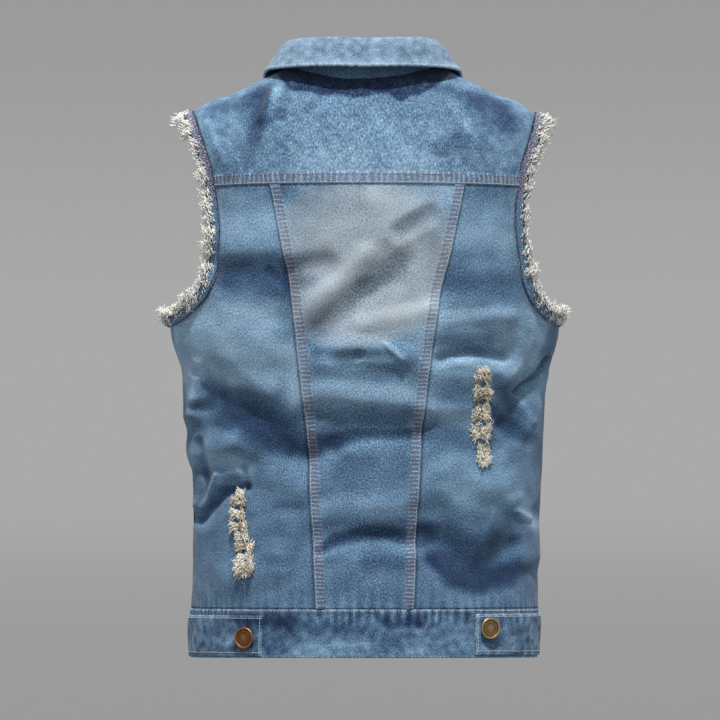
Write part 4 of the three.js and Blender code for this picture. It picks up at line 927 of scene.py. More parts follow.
# Back yoke
# The same denim, cut across the shoulders from one armhole to the other.
# Its lower edge is folded under and felled over the three panels; its upper edge is in the neck seam.
CENTRE_USUAL_WIDTH = 170
FELL_STEP = 1.5
CENTRE_COLUMNS = 9
SIDE_COLUMNS = 7
SHOULDER_COLUMNS = 4
FRONT_NECK_COLUMNS = 6
FRONT_COLUMNS = FRONT_NECK_COLUMNS + SHOULDER_COLUMNS
YOKE_ROWS = 84
YOKE_ACROSS = 190
YOKE_HEIGHT = 120
YOKE_SLOPE_HEIGHT = 140
COLUMN_GAP = 0.012
YOKE_WASH = 0.22
YOKE_MOTTLE = 0.1
COLLAR_SHADOW_DARKNESS = 1.3
COLLAR_SHADOW_SOFTNESS = 4
# Down to this line the yoke is darkened: painted shadow of the collar, with the scalloped edge of a cast
# shadow
COLLAR_SHADOW_LINE = {
    "across": [-98, -77, -58, -40, -24, -8, 4, 16, 28, 39, 50, 62, 86, 98],
    "height": [12, -15, -18, -23, -22, -26, -24, -21, -22, -29, -24, -21, -4, 12],
}
PLACKET_HALF = 16


def neck_height(x, back=True):
    """Height of the neck seam at a distance from the middle."""
    side = read_table(SHOULDER, "across", NECK_HALF_WIDTH, "height")
    share = np.clip(np.abs(x) / NECK_HALF_WIDTH, 0, 1)
    if back:
        return BACK_NECK + (side - BACK_NECK) * share ** 2
    return side + (FRONT_NECK - side) * np.sqrt(1 - share ** 2)


def front_top_x(column, sign):
    """How far out a column of the front ends: at the neck, or along the shoulder."""
    tip_height = read_table(SHOULDER, "across", SHOULDER_TIP, "height")
    tip = by_side(sign, ARMHOLE, "height", tip_height)
    turn = QUARTER * np.clip(column / FRONT_NECK_COLUMNS, 0, 1) ** 0.8
    neck = PLACKET_HALF + (NECK_HALF_WIDTH - PLACKET_HALF) * np.sin(turn) ** 0.9
    past = (column - FRONT_NECK_COLUMNS) / SHOULDER_COLUMNS
    return np.where(column <= FRONT_NECK_COLUMNS, neck, NECK_HALF_WIDTH + (tip - NECK_HALF_WIDTH) * past)


def yoke_bottom_angles():
    """Angles at which the solids' columns cross the yoke seam, from left to right."""
    fell, step = (wide / CENTRE_USUAL_WIDTH for wide in (FELL_WIDTH, FELL_WIDTH + FELL_STEP))
    inner = step + (1 - 2 * step) * np.arange(CENTRE_COLUMNS - 1) / (CENTRE_COLUMNS - 2)
    shares = np.concatenate([[0, fell], inner, [1 - fell, 1]])
    left, right = (float(princess_angle(YOKE_SEAM, sign)) for sign in (-1, 1))
    out_left, out_right = (float(armhole_angle(YOKE_SEAM, sign)) for sign in (-1, 1))
    side = np.arange(SIDE_COLUMNS + 1) / SIDE_COLUMNS
    return np.concatenate([
        out_left + (left - out_left) * side,
        (left + (right - left) * shares)[1:-1],
        right + (out_right - right) * side])


def yoke_top(columns, last):
    """Angle and height of each column's upper end, on the shoulder line or at the neck."""
    sign = np.where(columns * 2 < last, -1, 1)
    from_tip = np.minimum(columns, last - columns)
    on_shoulder = from_tip <= SHOULDER_COLUMNS
    shoulder_x = sign * np.where(
        sign < 0, front_top_x(FRONT_COLUMNS - from_tip, -1), front_top_x(FRONT_COLUMNS - from_tip, 1))
    share = (columns - SHOULDER_COLUMNS) / (last - 2 * SHOULDER_COLUMNS)
    neck_x = NECK_HALF_WIDTH * (2 * np.clip(share, 0, 1) - 1)
    x = np.where(on_shoulder, shoulder_x, neck_x)
    height = np.where(on_shoulder, 0.0, height_at(neck_x, neck_height(neck_x)))
    return angle_at(x, height), height


def make_back_yoke():
    """The yoke, from the yoke seam to the shoulders and the neck."""
    bottoms = yoke_bottom_angles()
    last = len(bottoms) - 1
    columns = np.linspace(COLUMN_GAP, last - COLUMN_GAP, YOKE_ACROSS)[None, :]
    shares = np.linspace(
        SEAM_HALF_GAP / YOKE_HEIGHT, 1 - SEAM_HALF_GAP / YOKE_SLOPE_HEIGHT, YOKE_ROWS)[:, None]
    bottom = np.interp(columns, np.arange(last + 1), bottoms)
    top_angle, top_height = yoke_top(columns, last)
    height = YOKE_SEAM + (top_height - YOKE_SEAM) * shares
    shifts = []
    for end, sign in ((0, -1), (last, 1)):
        end_angle = float(yoke_top(np.array([end]), last)[0][0])
        straight = bottoms[end] + (end_angle - bottoms[end]) * shares
        shifts.append(armhole_angle(YOKE_SEAM * (1 - shares), sign) - straight)
    shift = shifts[0] + (shifts[1] - shifts[0]) * columns / last
    angle = bottom + (top_angle - bottom) * shares + shift
    points, wash = cloth_point(angle, height)
    run = angle * WEAVE_PER_RADIAN
    seam = (height - YOKE_SEAM) + 0 * run
    points = raised(points, fell_height(seam, run))
    # Painted shadow of the collar on the yoke, darkening the colour down to a scalloped line
    collar_shadow_edge = read_table(COLLAR_SHADOW_LINE, "across", points[..., 0], "height")
    collar_shadow = np.clip((points[..., 2] - collar_shadow_edge) / COLLAR_SHADOW_SOFTNESS + 0.5, 0, 1)
    wash = wash + YOKE_WASH - COLLAR_SHADOW_DARKNESS * collar_shadow + YOKE_MOTTLE * mottle(points)
    piece = add_cloth("back_yoke_panel", points, (run, height), wash=wash, seam=seam, run=run)
    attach(piece, "root")
    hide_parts("back_yoke")
    return piece, points, angle, height


back_yoke, yoke_points, yoke_angles, yoke_heights = make_back_yoke()
yoke_columns = np.swapaxes(yoke_points, 0, 1)
above_seam = np.swapaxes(yoke_heights - YOKE_SEAM + 0 * yoke_angles, 0, 1)
YOKE_INNER_ROW = INNER_ROW + 0.6
for name, row, thread in (("lower", OUTER_ROW, pale_thread), ("upper", YOKE_INNER_ROW, mauve_thread)):
    line, outward = trace(yoke_columns, above_seam, row)
    add_stitches(f"yoke_stitches_{name}", back_yoke, [(line, -outward)], thread)


# Fronts and plackets
# Hidden in the photograph, so plain: two denim fronts, and the doubled strips that button together.
# The wearer's left placket laps over the right one.
PLACKET_LEFT_FROM = -26
PLACKET_LEFT_TO = 15
PLACKET_CLOTH = 1.6
PLACKET_ROWS = 170
PLACKET_ACROSS = 17
PLACKET_STITCHES_IN = 2.5
LAY_GAP = 0.4
FRONT_ROWS = 90
FRONT_ACROSS = 70
FRONT_COLUMN_GAP = 0.008
FRONT_TOP_SHARE = 0.9993
FRONT_ROW_POWER = 1.3


def make_front(side, sign):
    """One front, from the placket to the side seam and up to the neck and shoulder."""
    columns = np.linspace(FRONT_COLUMN_GAP, FRONT_COLUMNS - FRONT_COLUMN_GAP, FRONT_ACROSS)[None, :]
    out = columns / FRONT_COLUMNS
    edge = sign * QUARTER
    low = np.linspace(WAIST + SEAM_HALF_GAP, ARMPIT, FRONT_ROWS, endpoint=False)[:, None]
    low_in = angle_at(sign * PLACKET_HALF, low, False)
    low_angle = low_in + (edge - low_in) * out
    shares = (np.linspace(0, FRONT_TOP_SHARE, FRONT_ROWS) ** FRONT_ROW_POWER)[:, None]
    armpit_in = float(angle_at(sign * PLACKET_HALF, ARMPIT, False))
    x = sign * front_top_x(columns, sign)
    at_neck = height_at(x, neck_height(x, False), False)
    top_height = np.where(columns >= FRONT_NECK_COLUMNS, 0.0, at_neck)
    height = ARMPIT + (top_height - ARMPIT) * shares
    corner = float(angle_at(sign * front_top_x(np.array(float(FRONT_COLUMNS)), sign), 0, False))
    shift = armhole_angle(ARMPIT * (1 - shares), sign, False) - (edge + (corner - edge) * shares)
    armpit_angle = armpit_in + (edge - armpit_in) * out
    angle = armpit_angle + (angle_at(x, top_height, False) - armpit_angle) * shares + shift * out
    straight_in = angle_at(sign * PLACKET_HALF, height[:, :1], False)
    near = np.clip(1 - columns, 0, 1)
    angle = angle * (1 - near) + (straight_in + (angle - angle[:, :1])) * near
    angles = np.concatenate([low_angle, angle])
    heights = np.concatenate([low + 0 * out, height])
    if sign > 0:
        angles, heights = angles[:, ::-1], heights[:, ::-1]
    points, wash = cloth_point(angles, heights)
    piece = add_cloth(f"front_panel_{side}", points, (angles * WEAVE_PER_RADIAN, heights), wash=wash)
    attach(piece, "root")
    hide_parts(f"front_{side}")


for side, sign in SIDES.items():
    make_front(side, sign)


def make_placket(side, x_from, x_to, lift, thick):
    """A doubled strip down the front edge, between two distances from the middle."""
    x = np.linspace(x_from - SEAM_HALF_GAP, x_to + SEAM_HALF_GAP, PLACKET_ACROSS)[None, :]
    neck = height_at(x, neck_height(x, False), False)
    heights = WAIST + 0.2 + (neck - 0.3 - WAIST) * np.linspace(0, 1, PLACKET_ROWS)[:, None]
    angle = angle_at(x, heights, False)
    points, wash = cloth_point(angle, heights)
    points = raised(points, lift)
    edge = np.minimum(x_from - x, x - x_to) + 0 * heights
    place = (-x + 0 * heights, heights)
    piece = add_cloth(f"placket_strip_{side}", points, place, thick, wash=wash, edge=np.abs(edge))
    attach(piece, "root")
    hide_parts(f"placket_{side}")
    return piece, points


left_lift = LAY_GAP + PLACKET_CLOTH
plackets = {
    "right": make_placket("right", PLACKET_HALF, -PLACKET_HALF, 0.0, CLOTH),
    "left": make_placket("left", PLACKET_LEFT_TO, PLACKET_LEFT_FROM, left_lift, PLACKET_CLOTH),
}
for side, (strip, points) in plackets.items():
    strip_rows = [rows_from_edge(points, flip, (PLACKET_STITCHES_IN,))[0] for flip in (False, True)]
    add_stitches(f"placket_stitches_{side}", strip, strip_rows, pale_thread)


# Waistband
# A doubled strip of denim round the hem, joined at the side seams, its left front end over the right.
# It puckers under the waist seam and along its turned lower edge.
BAND_RISE = 0.6
BAND_ROWS = 40
BAND_STRETCH = 1.25
BAND_LAP_STEP = 15
BACK_BAND_LENGTH = 460
BACK_BAND_STEP = 1.55
FRONT_BAND_LENGTH = 245
FRONT_BAND_STEP = 1.6
FRONT_PUCKERING = 0.35
# The back band's length is an estimate, from 0.0235 m2 of cloth taken as 52 mm high, 1 mm less than the band
# is built.
PUCKER_PITCH = 9
ROLL_PITCH = 5.2
BAND_MIDDLE = -592
# Worn and dark places of the back waistband: centre, half sizes and strength
BAND_PATCHES = [
    (-88, -600, 16, 14, -0.5), (-60, -608, 22, 10, 0.4), (-20, -606, 26, 11, 0.35), (-45, -584, 40, 7, -0.35),
    (-8, -588, 20, 6, -0.4), (30, -598, 20, 9, -0.35), (60, -606, 24, 9, 0.3), (105, -600, 20, 12, 0.2),
    (10, -617, 60, 4, -0.3), (-165, -606, 16, 9, 0.3), (160, -604, 18, 9, 0.25),
]


def band_puckers(run, height):
    """Small upright puckers that hang from the waist seam and stand on the hem."""
    below = np.clip((WAIST - height) / 26, 0, 1)
    above = np.clip((height - HEM) / 10, 0, 1)
    uneven = run / PUCKER_PITCH + 0.5 * np.sin(run / 31) + 0.35 * np.sin(run / 12.7 + 1)
    hanging = np.sin(2 * math.pi * uneven) * np.sin(math.pi * np.sqrt(below)) * (1 - below) ** 0.7
    strength = 0.55 + 0.45 * np.sin(run / 43 + 0.8)
    return 1.15 * strength * hanging + 0.35 * uneven_ripple(run, ROLL_PITCH, 1, 9) * (1 - above) ** 2


def band_wear_and_shade(points, heights):
    """Wear and painted shade of the back waistband: an upper half darkened as painted shade under the waist
    seam, blotches and worn places.
    """
    total = 0.15 * mottle(points) - 0.15 * np.clip((heights - BAND_MIDDLE) / 15, 0, 1)
    for x, z, wide, tall, strength in BAND_PATCHES:
        away = ((points[..., 0] - x) / wide) ** 2 + ((points[..., 2] - z) / tall) ** 2
        total += strength * np.exp(-away)
    return total


def lap_lift(points):
    """How far the left front end is lifted where it laps over the right one."""
    share = np.clip((points[..., 0] + PLACKET_HALF + BAND_LAP_STEP) / (BAND_LAP_STEP - 1), 0, 1)
    return (CLOTH + BAND_RISE + LAY_GAP + 0.2) * share * share * (3 - 2 * share)


def make_band(name, node, angles, puckering, pucker_wash, worn=False, lapped=False):
    """One piece of the waistband, on a row of angles."""
    heights = np.linspace(HEM + SEAM_HALF_GAP, WAIST - SEAM_HALF_GAP, BAND_ROWS)[:, None]
    points, wash = cloth_point(angles, heights)
    run = angles * WEAVE_PER_RADIAN * BAND_STRETCH + 0 * heights
    pucker = band_puckers(run, heights) * puckering
    points = raised(points, BAND_RISE + (lap_lift(points) if lapped else 0.0) + pucker)
    edge = np.minimum(heights - HEM, (WAIST - heights) + 1.5) + 0 * run
    wash = wash + pucker_wash * pucker + (band_wear_and_shade(points, heights) if worn else 0.0)
    piece = add_cloth(name, points, (run, heights), wash=wash, edge=edge)
    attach(piece, "root")
    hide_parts(node)
    return piece, points


def spaced_angles(low, high, width, step):
    """A row of angles with half a seam gap left free at both ends."""
    return low + (high - low) * inset_shares(int(width / step), width)


def front_band_angles(sign):
    """Angles of one front piece, from the side seam to just past the middle."""
    end = float(angle_at(sign * -PLACKET_HALF, WAIST, False))
    end = end + 2 * math.pi * sign if end * sign < 0 else end
    angles = spaced_angles(sign * QUARTER, end, FRONT_BAND_LENGTH, FRONT_BAND_STEP)
    return angles if sign > 0 else angles[::-1]


back_angles = spaced_angles(-QUARTER, QUARTER, BACK_BAND_LENGTH, BACK_BAND_STEP)
bands = {"back": make_band("back_band", "waistband_back", back_angles, 1.0, 0.7, worn=True)}
for side, sign in SIDES.items():
    bands[side] = make_band(
        f"front_band_{side}", f"waistband_front_{side}", front_band_angles(sign),
        FRONT_PUCKERING, 0.5, lapped=side == "left")


def band_rows(points, values):
    """Stitch lines along a waistband piece, at distances below the waist seam."""
    below = (np.arange(points.shape[0]) / (points.shape[0] - 1) * (WAIST - HEM))[None, :]
    columns = np.swapaxes(points[::-1], 0, 1)
    return [trace(columns, below, value) for value in values]


for name, (band, points) in bands.items():
    add_stitches(f"waist_stitches_{name}", band, band_rows(points, (1.8,)), pale_thread)
    add_stitches(f"waist_stitches_low_{name}", band, band_rows(points, (4.2, 50.5)), mauve_thread)


# Waist tabs
# Two doubled denim tabs on the waistband, sewn into the side seams and held by a tack button.
# Their turned edges are worn white, most of all the upper ones.
TAB_CLOTH = 2.2
TAB_LENGTH = 92
TAB_STEP = 1.2
TAB_ROWS = 36
TAB_ROW_STEP = 1.3
TAB_MIDDLE = -596
TABS = {
    "left": {"sign": -1, "end": 105, "below_seam": 7, "above_hem": 1.5, "wash": -0.2},
    "right": {"sign": 1, "end": 118, "below_seam": 5, "above_hem": 3, "wash": 0.0},
}


def make_tab(side, tab):
    """One tab, laid on the waistband from the side seam to its square end."""
    end_angle = float(angle_at(tab["sign"] * tab["end"], TAB_MIDDLE))
    low, high = sorted((end_angle, tab["sign"] * QUARTER))
    angles = spaced_angles(low, high, TAB_LENGTH, TAB_STEP)[None, :]
    heights = np.linspace(HEM + tab["above_hem"], WAIST - tab["below_seam"], TAB_ROWS)[:, None]
    points, wash = cloth_point(angles, heights)
    across = (angles - low) / (high - low)
    from_end = (across if tab["sign"] > 0 else 1 - across) * TAB_LENGTH
    inner_rows = np.minimum(heights - heights[0], heights[-1] - heights)
    puff = 0.7 * np.clip(np.minimum(from_end, inner_rows) / 6, 0, 1) ** 0.5
    ripple = 0.35 * np.sin(from_end / 5 + heights / 9) * np.clip(inner_rows / 10, 0, 1)
    points = raised(points, BAND_RISE + LAY_GAP + TAB_CLOTH + puff - 0.5 + ripple)
    turned = np.minimum(heights[-1] - heights, heights - heights[0] + 1.5)
    edge = np.minimum(from_end + 0.6 + 0 * heights, turned)
    wash = wash + tab["wash"] + 0.35 * ripple + 0.22 * mottle(points)
    place = (angles * WEAVE_PER_RADIAN * BAND_STRETCH + 0 * heights, heights)
    piece = add_cloth(f"waist_tab_{side}", points, place, TAB_CLOTH, wash=wash, edge=edge)
    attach(piece, "root")
    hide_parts(f"tab_{side}")
    return piece, points


tabs = {side: make_tab(side, tab) for side, tab in TABS.items()}
for side, (tab, points) in tabs.items():
    columns = np.swapaxes(points[::-1], 0, 1)
    below = (np.arange(points.shape[0]) * TAB_ROW_STEP)[None, :]
    tab_rows = [trace(columns, below, 3.0), trace(columns, below, 41.0)]
    tab_rows += rows_from_edge(points[2:-2], side == "left", (3.0,))
    add_stitches(f"tab_stitches_{side}", tab, tab_rows, pale_thread)


# Collar
# A two-part shirt collar: an upright stand sewn into the neck seam, and a leaf folded down over it.
# The leaf is two layers of denim, topstitched near its edge, which is worn white.
NECK_MIDDLE_Y = -8
COLLAR_CLOTH = 2.4
STAND_CLOTH = 1.8
COLLAR_LIFT = 4
COLLAR_FRONT_END = 1.5
NECK_FRONT_COUNT = 60
NECK_BACK_COUNT = 120
STAND_ROWS = 12
LEAF_ROWS = 34
LEAF_STITCHES_IN = 5.5
LEAF_RIPPLE_PITCH = 8.5
STAND_INSET = 0.75
STAND_TUCK = 3
LEAF_CLEAR = 1.2
LEAF_TURN_OUT = 5
LEAF_TURN_UP = 8
FOLD_DROP = 5
LEAF_REST_FROM = -10
LEAF_REST_OVER = 25
COLLAR = {
    "angle": [0, 30, 60, 90, 120, 150, 180],
    "fold_out": [63, 70, 78, 76, 75, 70, 66],
    "fold_height": [40, 41, 41, 39, 22, -10, -32],
    "edge_angle": [0, 29, 58, 86, 108, 132, 154],
    "edge_out": [90, 97, 106, 106, 111, 112, 106],
    "edge_height": [7, 8, 8, 6, -8, -40, -80],
    "bulge": [1, 1, 1, 2, 6, 7, 6],
}


def neck_ring():
    """Points and outward directions along the neck seam, from the left front end to the right one."""
    columns = np.linspace(0, FRONT_NECK_COLUMNS, NECK_FRONT_COUNT)
    left = -np.concatenate([[COLLAR_FRONT_END], front_top_x(columns, -1)])[:-1]
    right = np.concatenate([[COLLAR_FRONT_END], front_top_x(columns, 1)])[:-1][::-1]
    back = np.linspace(-NECK_HALF_WIDTH, NECK_HALF_WIDTH, NECK_BACK_COUNT)
    points, normals = [], []
    for x, is_back in ((left, False), (back, True), (right, False)):
        height = height_at(x, neck_height(x, is_back), is_back)
        angle = angle_at(x, height, is_back)
        points.append(cloth_point(angle, height, creased=False)[0])
        normals.append(body_normal(angle, height))
    return np.concatenate(points), np.concatenate(normals)


def around_neck(degrees, out, height):
    """A point given by its angle round the neck, its reach and its height."""
    turn = np.radians(degrees)
    return np.stack([out * np.sin(turn), NECK_MIDDLE_Y - out * np.cos(turn), height + 0 * out], -1)


def front_height_under(x, y):
    """Height of the front cloth under points given in plan."""
    low, high = np.full(x.shape, float(FRONT_BEND)), np.zeros(x.shape)
    for _ in range(30):
        middle = (low + high) / 2
        deep = cloth_point(angle_at(x, middle, False), middle, creased=False)[0][..., 1] > y
        low, high = np.where(deep, middle, low), np.where(deep, high, middle)
    return cloth_point(angle_at(x, low, False), low, creased=False)[0][..., 2]


def make_collar():
    """The stand and the leaf, in rows round the neck."""
    neck, neck_normals = neck_ring()
    away = neck - [0, NECK_MIDDLE_Y, 0]
    degrees = np.degrees(np.arctan2(away[:, 0], -away[:, 1]))
    rows = {key: read_table(COLLAR, "angle", np.abs(degrees), key) for key in COLLAR if key != "angle"}
    fold = around_neck(degrees, rows["fold_out"], rows["fold_height"] - FOLD_DROP)
    edge = around_neck(np.sign(degrees) * rows["edge_angle"], rows["edge_out"], rows["edge_height"])
    rest = front_height_under(edge[:, 0], edge[:, 1]) + COLLAR_LIFT
    lying = np.clip((edge[:, 1] - LEAF_REST_FROM) / LEAF_REST_OVER, 0, 1)
    edge[:, 2] += (rest - edge[:, 2]) * lying
    out = unit(away * [1, 1, 0])
    into = unit(np.cross(np.gradient(neck, axis=0), neck_normals))
    into *= np.where(((neck.mean(0) - neck) * into).sum(-1) < 0, -1, 1)[:, None]
    start = neck + into * STAND_INSET
    stand = start + (fold - start) * np.linspace(0, 1, STAND_ROWS)[:, None, None]
    tucked = neck - into * STAND_TUCK - neck_normals * (CLOTH + LAY_GAP)
    stand = np.concatenate([tucked[None], stand])
    rising = unit(fold - neck)
    first = fold - out * STAND_CLOTH / 2 + rising * LEAF_CLEAR
    over = first + out * LEAF_TURN_OUT + [0, 0, LEAF_TURN_UP]
    down = (edge + over) / 2 + out * rows["bulge"][:, None]
    t = (np.linspace(0, 1, LEAF_ROWS) ** 1.15)[:, None, None]
    leaf = first * (1 - t) ** 3 + 3 * over * t * (1 - t) ** 2 + 3 * down * t * t * (1 - t) + edge * t ** 3
    return stand, leaf


def weave_of(grid):
    """Where a collar piece lies on its weave: along its last row, and down from its first one."""
    drop = run_along(grid, 0)
    return run_along(grid[-1], 0)[None, :] + 0 * drop, drop


def make_leaf(leaf):
    """The folded leaf, with the ripple of its stitched and worn edge."""
    run, drop = weave_of(leaf)
    to_edge = drop[-1:] - drop
    edge = np.minimum(to_edge, np.minimum(run, run[:, -1:] - run))
    at_edge = np.exp(-((to_edge - 2) / 4) ** 2)
    ripple = 0.45 * uneven_ripple(run, LEAF_RIPPLE_PITCH, 2, 21) * at_edge
    groove = -0.5 * np.exp(-((edge - LEAF_STITCHES_IN) / 1.1) ** 2)
    points = raised(leaf, COLLAR_CLOTH / 2 + ripple + groove + 0.5 * crumple(leaf))
    wash = 0.17 + 0.45 * at_edge - 0.18 * np.exp(-((to_edge - 20) / 9) ** 2)
    wash = wash + 0.25 * ripple + 0.14 * mottle(leaf)
    piece = add_cloth(
        "collar_leaf_fold", points, (run, drop), COLLAR_CLOTH, (denim, denim), wash=wash, edge=edge, fade=0.2)
    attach(piece, "root")
    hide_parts("collar_leaf")
    return piece, points


def make_stand(stand):
    """The upright stand, mostly hidden under the leaf."""
    piece = add_cloth("collar_stand_band", stand, weave_of(stand), STAND_CLOTH, wash=0.05)
    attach(piece, "root")
    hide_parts("collar_stand")


stand_points, leaf_points = make_collar()
collar_leaf, collar_points = make_leaf(leaf_points)
make_stand(stand_points)
leaf_columns = np.swapaxes(collar_points[::-1], 0, 1)
leaf_rows = [trace(leaf_columns, run_along(leaf_columns), LEAF_STITCHES_IN)]
leaf_rows += [rows_from_edge(collar_points[8:-3], flip, (LEAF_STITCHES_IN,))[0] for flip in (False, True)]
add_stitches("collar_stitches", collar_leaf, leaf_rows, pale_thread)


# Armhole bands
# The stub of each cut-off sleeve: seam allowances overlocked together, darker and stiffer than the panels.
# They stand off the body at the armpit.
ARM_BAND_WIDTH = 10
ARM_BAND_CLOTH = 2.2
ARM_FLARE = 0.1
ARMPIT_FLARE = 0.45
FLARE_FROM = -200
FLARE_OVER = 60
ARM_RING_COUNT = 300
ARM_BAND_ROWS = 12
OVERLOCK_PITCH = 2.6
OVERLOCK_SLANT = 0.5
OVERLOCKED = [
    (0.15, srgb("#2c3550")), (0.45, srgb("#5a6680")), (0.6, srgb("#837f92")), (0.9, srgb("#c9c4c8")),
]
BARE_EDGE = [(0.0, INDIGO_LOW), (0.5, INDIGO_MID), (1.0, INDIGO_PALE)]
# Colour of the painted shade along the band's edges
PAINTED_EDGE_SHADE = srgb("#12151f")


def paint_overlocked_edge():
    """Dark seam allowance under a net of grey and mauve overlock thread."""
    material, tree = new_material("overlocked_denim_edge")
    grain = weave_grain(tree)
    field = {name: add_node(tree, "Attribute", attribute_name=name, out="Fac") for name in ("fade", "dark")}
    lean = add_node(tree, "Math", grain["up"], OVERLOCK_SLANT, operation="MULTIPLY")
    turn = add_node(
        tree, "Math", grain["across"], 2 * math.pi / OVERLOCK_PITCH, lean, operation="MULTIPLY_ADD")
    thread = add_node(tree, "Math", turn, operation="SINE")
    level = add_node(tree, "Math", grain["speck"], grain["slub"], operation="ADD")
    level = add_node(tree, "Math", thread, 0.05, level, operation="MULTIPLY_ADD")
    level = add_node(tree, "Math", level, 1.6, -1.1, operation="MULTIPLY_ADD")
    threads = add_node(tree, "ValToRGB", level, stops=OVERLOCKED)
    bare = add_node(tree, "ValToRGB", level, stops=BARE_EDGE)
    colour = add_node(tree, "Mix", {0: field["fade"], 6: threads, 7: bare}, **OF_COLOURS)
    # Painted shade in the seam's ditch and in the gap under the fray
    colour = add_node(tree, "Mix", {0: field["dark"], 6: colour, 7: PAINTED_EDGE_SHADE}, **OF_COLOURS)
    bump = add_node(tree, "Bump", {"Strength": 0.7, "Distance": 0.5 * MM, "Height": level})
    add_node(tree, "OutputMaterial", add_node(tree, "BsdfPrincipled", {
        "Base Color": colour, "Roughness": 0.95, "Specular IOR Level": 0.1, "Normal": bump}))
    return material


overlocked_edge = paint_overlocked_edge()


def armhole_ring(sign):
    """Points and outward directions along one armhole seam: down the back, up the front."""
    high = np.linspace(0.0, YOKE_SEAM, 60, endpoint=False)
    low = np.linspace(YOKE_SEAM, -236, 50, endpoint=False)
    armpit = np.concatenate([np.linspace(-236, ARMPIT, 30, endpoint=False), [ARMPIT]])
    back = np.concatenate([high, low, armpit])
    points, normals = [], []
    for heights, is_back in ((back, True), (back[1:-1][::-1], False)):
        angle = armhole_angle(heights, sign, is_back)
        points.append(cloth_point(angle, heights, creased=False)[0])
        normals.append(body_normal(angle, heights))
    points, normals = np.concatenate(points), np.concatenate(normals)
    steps = np.linalg.norm(np.roll(points, -1, 0) - points, axis=1)
    at = np.concatenate([[0], np.cumsum(steps)])
    even = np.linspace(0, at[-1], ARM_RING_COUNT, endpoint=False)
    points, normals = (walk(np.concatenate([v, v[:1]]), at, even) for v in (points, normals))
    normals = unit(normals)
    for _ in range(3):
        normals = unit(np.roll(normals, 1, 0) + normals * 2 + np.roll(normals, -1, 0))
    return points, normals, even


def ring_course(points, normals):
    """The way into the armhole in the cloth, and the band's own outward direction."""
    along = unit(np.roll(points, -2, 0) - np.roll(points, 2, 0))
    into = unit(np.cross(along, normals))
    middle = points.mean(0)
    into *= np.sign(((middle - points) * into).sum(-1))[:, None]
    flare = ARM_FLARE + ARMPIT_FLARE * np.clip((FLARE_FROM - points[:, 2]) / FLARE_OVER, 0, 1)
    course = unit(into + normals * flare[:, None])
    outward = unit(normals - course * (normals * course).sum(-1, keepdims=True))
    return course, outward, along


def make_arm_band(side, sign):
    """The band round one armhole, between its seam and the fray."""
    ring, normals, run = armhole_ring(sign)
    course, outward, along = ring_course(ring, normals)
    distance = np.linspace(SEAM_HALF_GAP, SEAM_HALF_GAP + ARM_BAND_WIDTH, ARM_BAND_ROWS)[:, None]
    swell = 0.5 * np.exp(-((distance - 8) / 1.6) ** 2) + 0.35 * np.exp(-((distance - 1) / 1.0) ** 2)
    swell = swell + 0.25 * np.sin(run / 1.1)[None, :] * np.exp(-((distance - 8) / 2) ** 2)
    points = ring[None] + course[None] * distance[..., None] + outward[None] * (swell - 0.3)[..., None]
    order = slice(None) if sign < 0 else slice(None, None, -1)
    # Painted shade: nearly black along the outer edge, in the gap under the fray, and in the ditch of the
    # seam
    painted_edge_shade = np.clip((distance - ARM_BAND_WIDTH + 2.2) / 1.6, 0, 1) * 0.85
    dark = painted_edge_shade + np.clip(1 - distance / 1.2, 0, 1) * 0.6 + 0 * run[None, :]
    plain = np.clip((YOKE_SEAM - 4 - ring[:, 2]) / 8, 0, 1)[None, :] * 0.9 + 0 * distance
    piece = add_cloth(
        f"armhole_edge_{side}", points[order], (run[None, :] + 0 * distance, distance + 0 * run[None, :]),
        ARM_BAND_CLOTH, materials=(overlocked_edge, overlocked_edge), ring=True,
        fade=plain[order], dark=dark[order])
    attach(piece, "root")
    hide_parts(f"armhole_band_{side}")
    return ring, course, outward, along


arm_bands = {side: make_arm_band(side, sign) for side, sign in SIDES.items()}


# Armhole frays
# White cotton weft left when the sleeves were cut off and washed: curly ends in tangled clumps.
# They are longest at the shoulder tips and, combed out square to the edge, at the armpits.
def paint_yarn(name, dark, middle, pale):
    """Loose cotton yarn, each end a little different."""
    material, tree = new_material(name)
    tint = add_node(tree, "Attribute", attribute_name="tint", out="Fac")
    colour = add_node(tree, "ValToRGB", tint, stops=[(0.0, dark), (0.35, middle), (1.0, pale)])
    add_node(tree, "OutputMaterial", add_node(tree, "BsdfPrincipled", {
        "Base Color": colour, "Roughness": 0.95, "Specular IOR Level": 0.1, "Sheen Weight": 0.4}))
    return material


fray_yarn = paint_yarn("frayed_white_cotton", srgb("#adb2b0"), srgb("#f6f5ec"), srgb("#fffffa"))


def add_strands(name, lines, thick, tints, material):
    """Three-sided strands along lines, an array of (strand, station, xyz)."""
    count, stations = lines.shape[:2]
    along = unit(np.gradient(lines, axis=1))
    side = unit(np.cross(along, [0.31, 0.17, 0.94]))
    other = np.cross(along, side)
    taper = np.concatenate([np.ones(stations - 1), [0.45]])
    radius = (np.broadcast_to(thick, (count,))[:, None] * taper[None, :] / 2)[..., None]
    rings = [lines + radius * (side * math.cos(turn) + other * math.sin(turn))
             for turn in (0, 2 * math.pi / 3, 4 * math.pi / 3)]
    points = np.stack(rings, 2).reshape(-1, 3)
    first = np.arange(count)[:, None, None] * stations * 3 + np.arange(stations - 1)[None, :, None] * 3
    here, after = first + np.array([0, 1, 2]), first + np.array([1, 2, 0])
    walls = np.stack([here, after, after + 3, here + 3], -1).reshape(-1, 4)
    root = np.arange(count)[:, None] * stations * 3
    caps = np.concatenate([root + [0, 2, 1], root + (stations - 1) * 3 + [0, 1, 2]])
    piece = add_mesh(name, points, walls.tolist() + caps.tolist())
    set_field(piece.data, "tint", np.repeat(tints, stations * 3))
    piece.data.materials.append(material)
    return piece


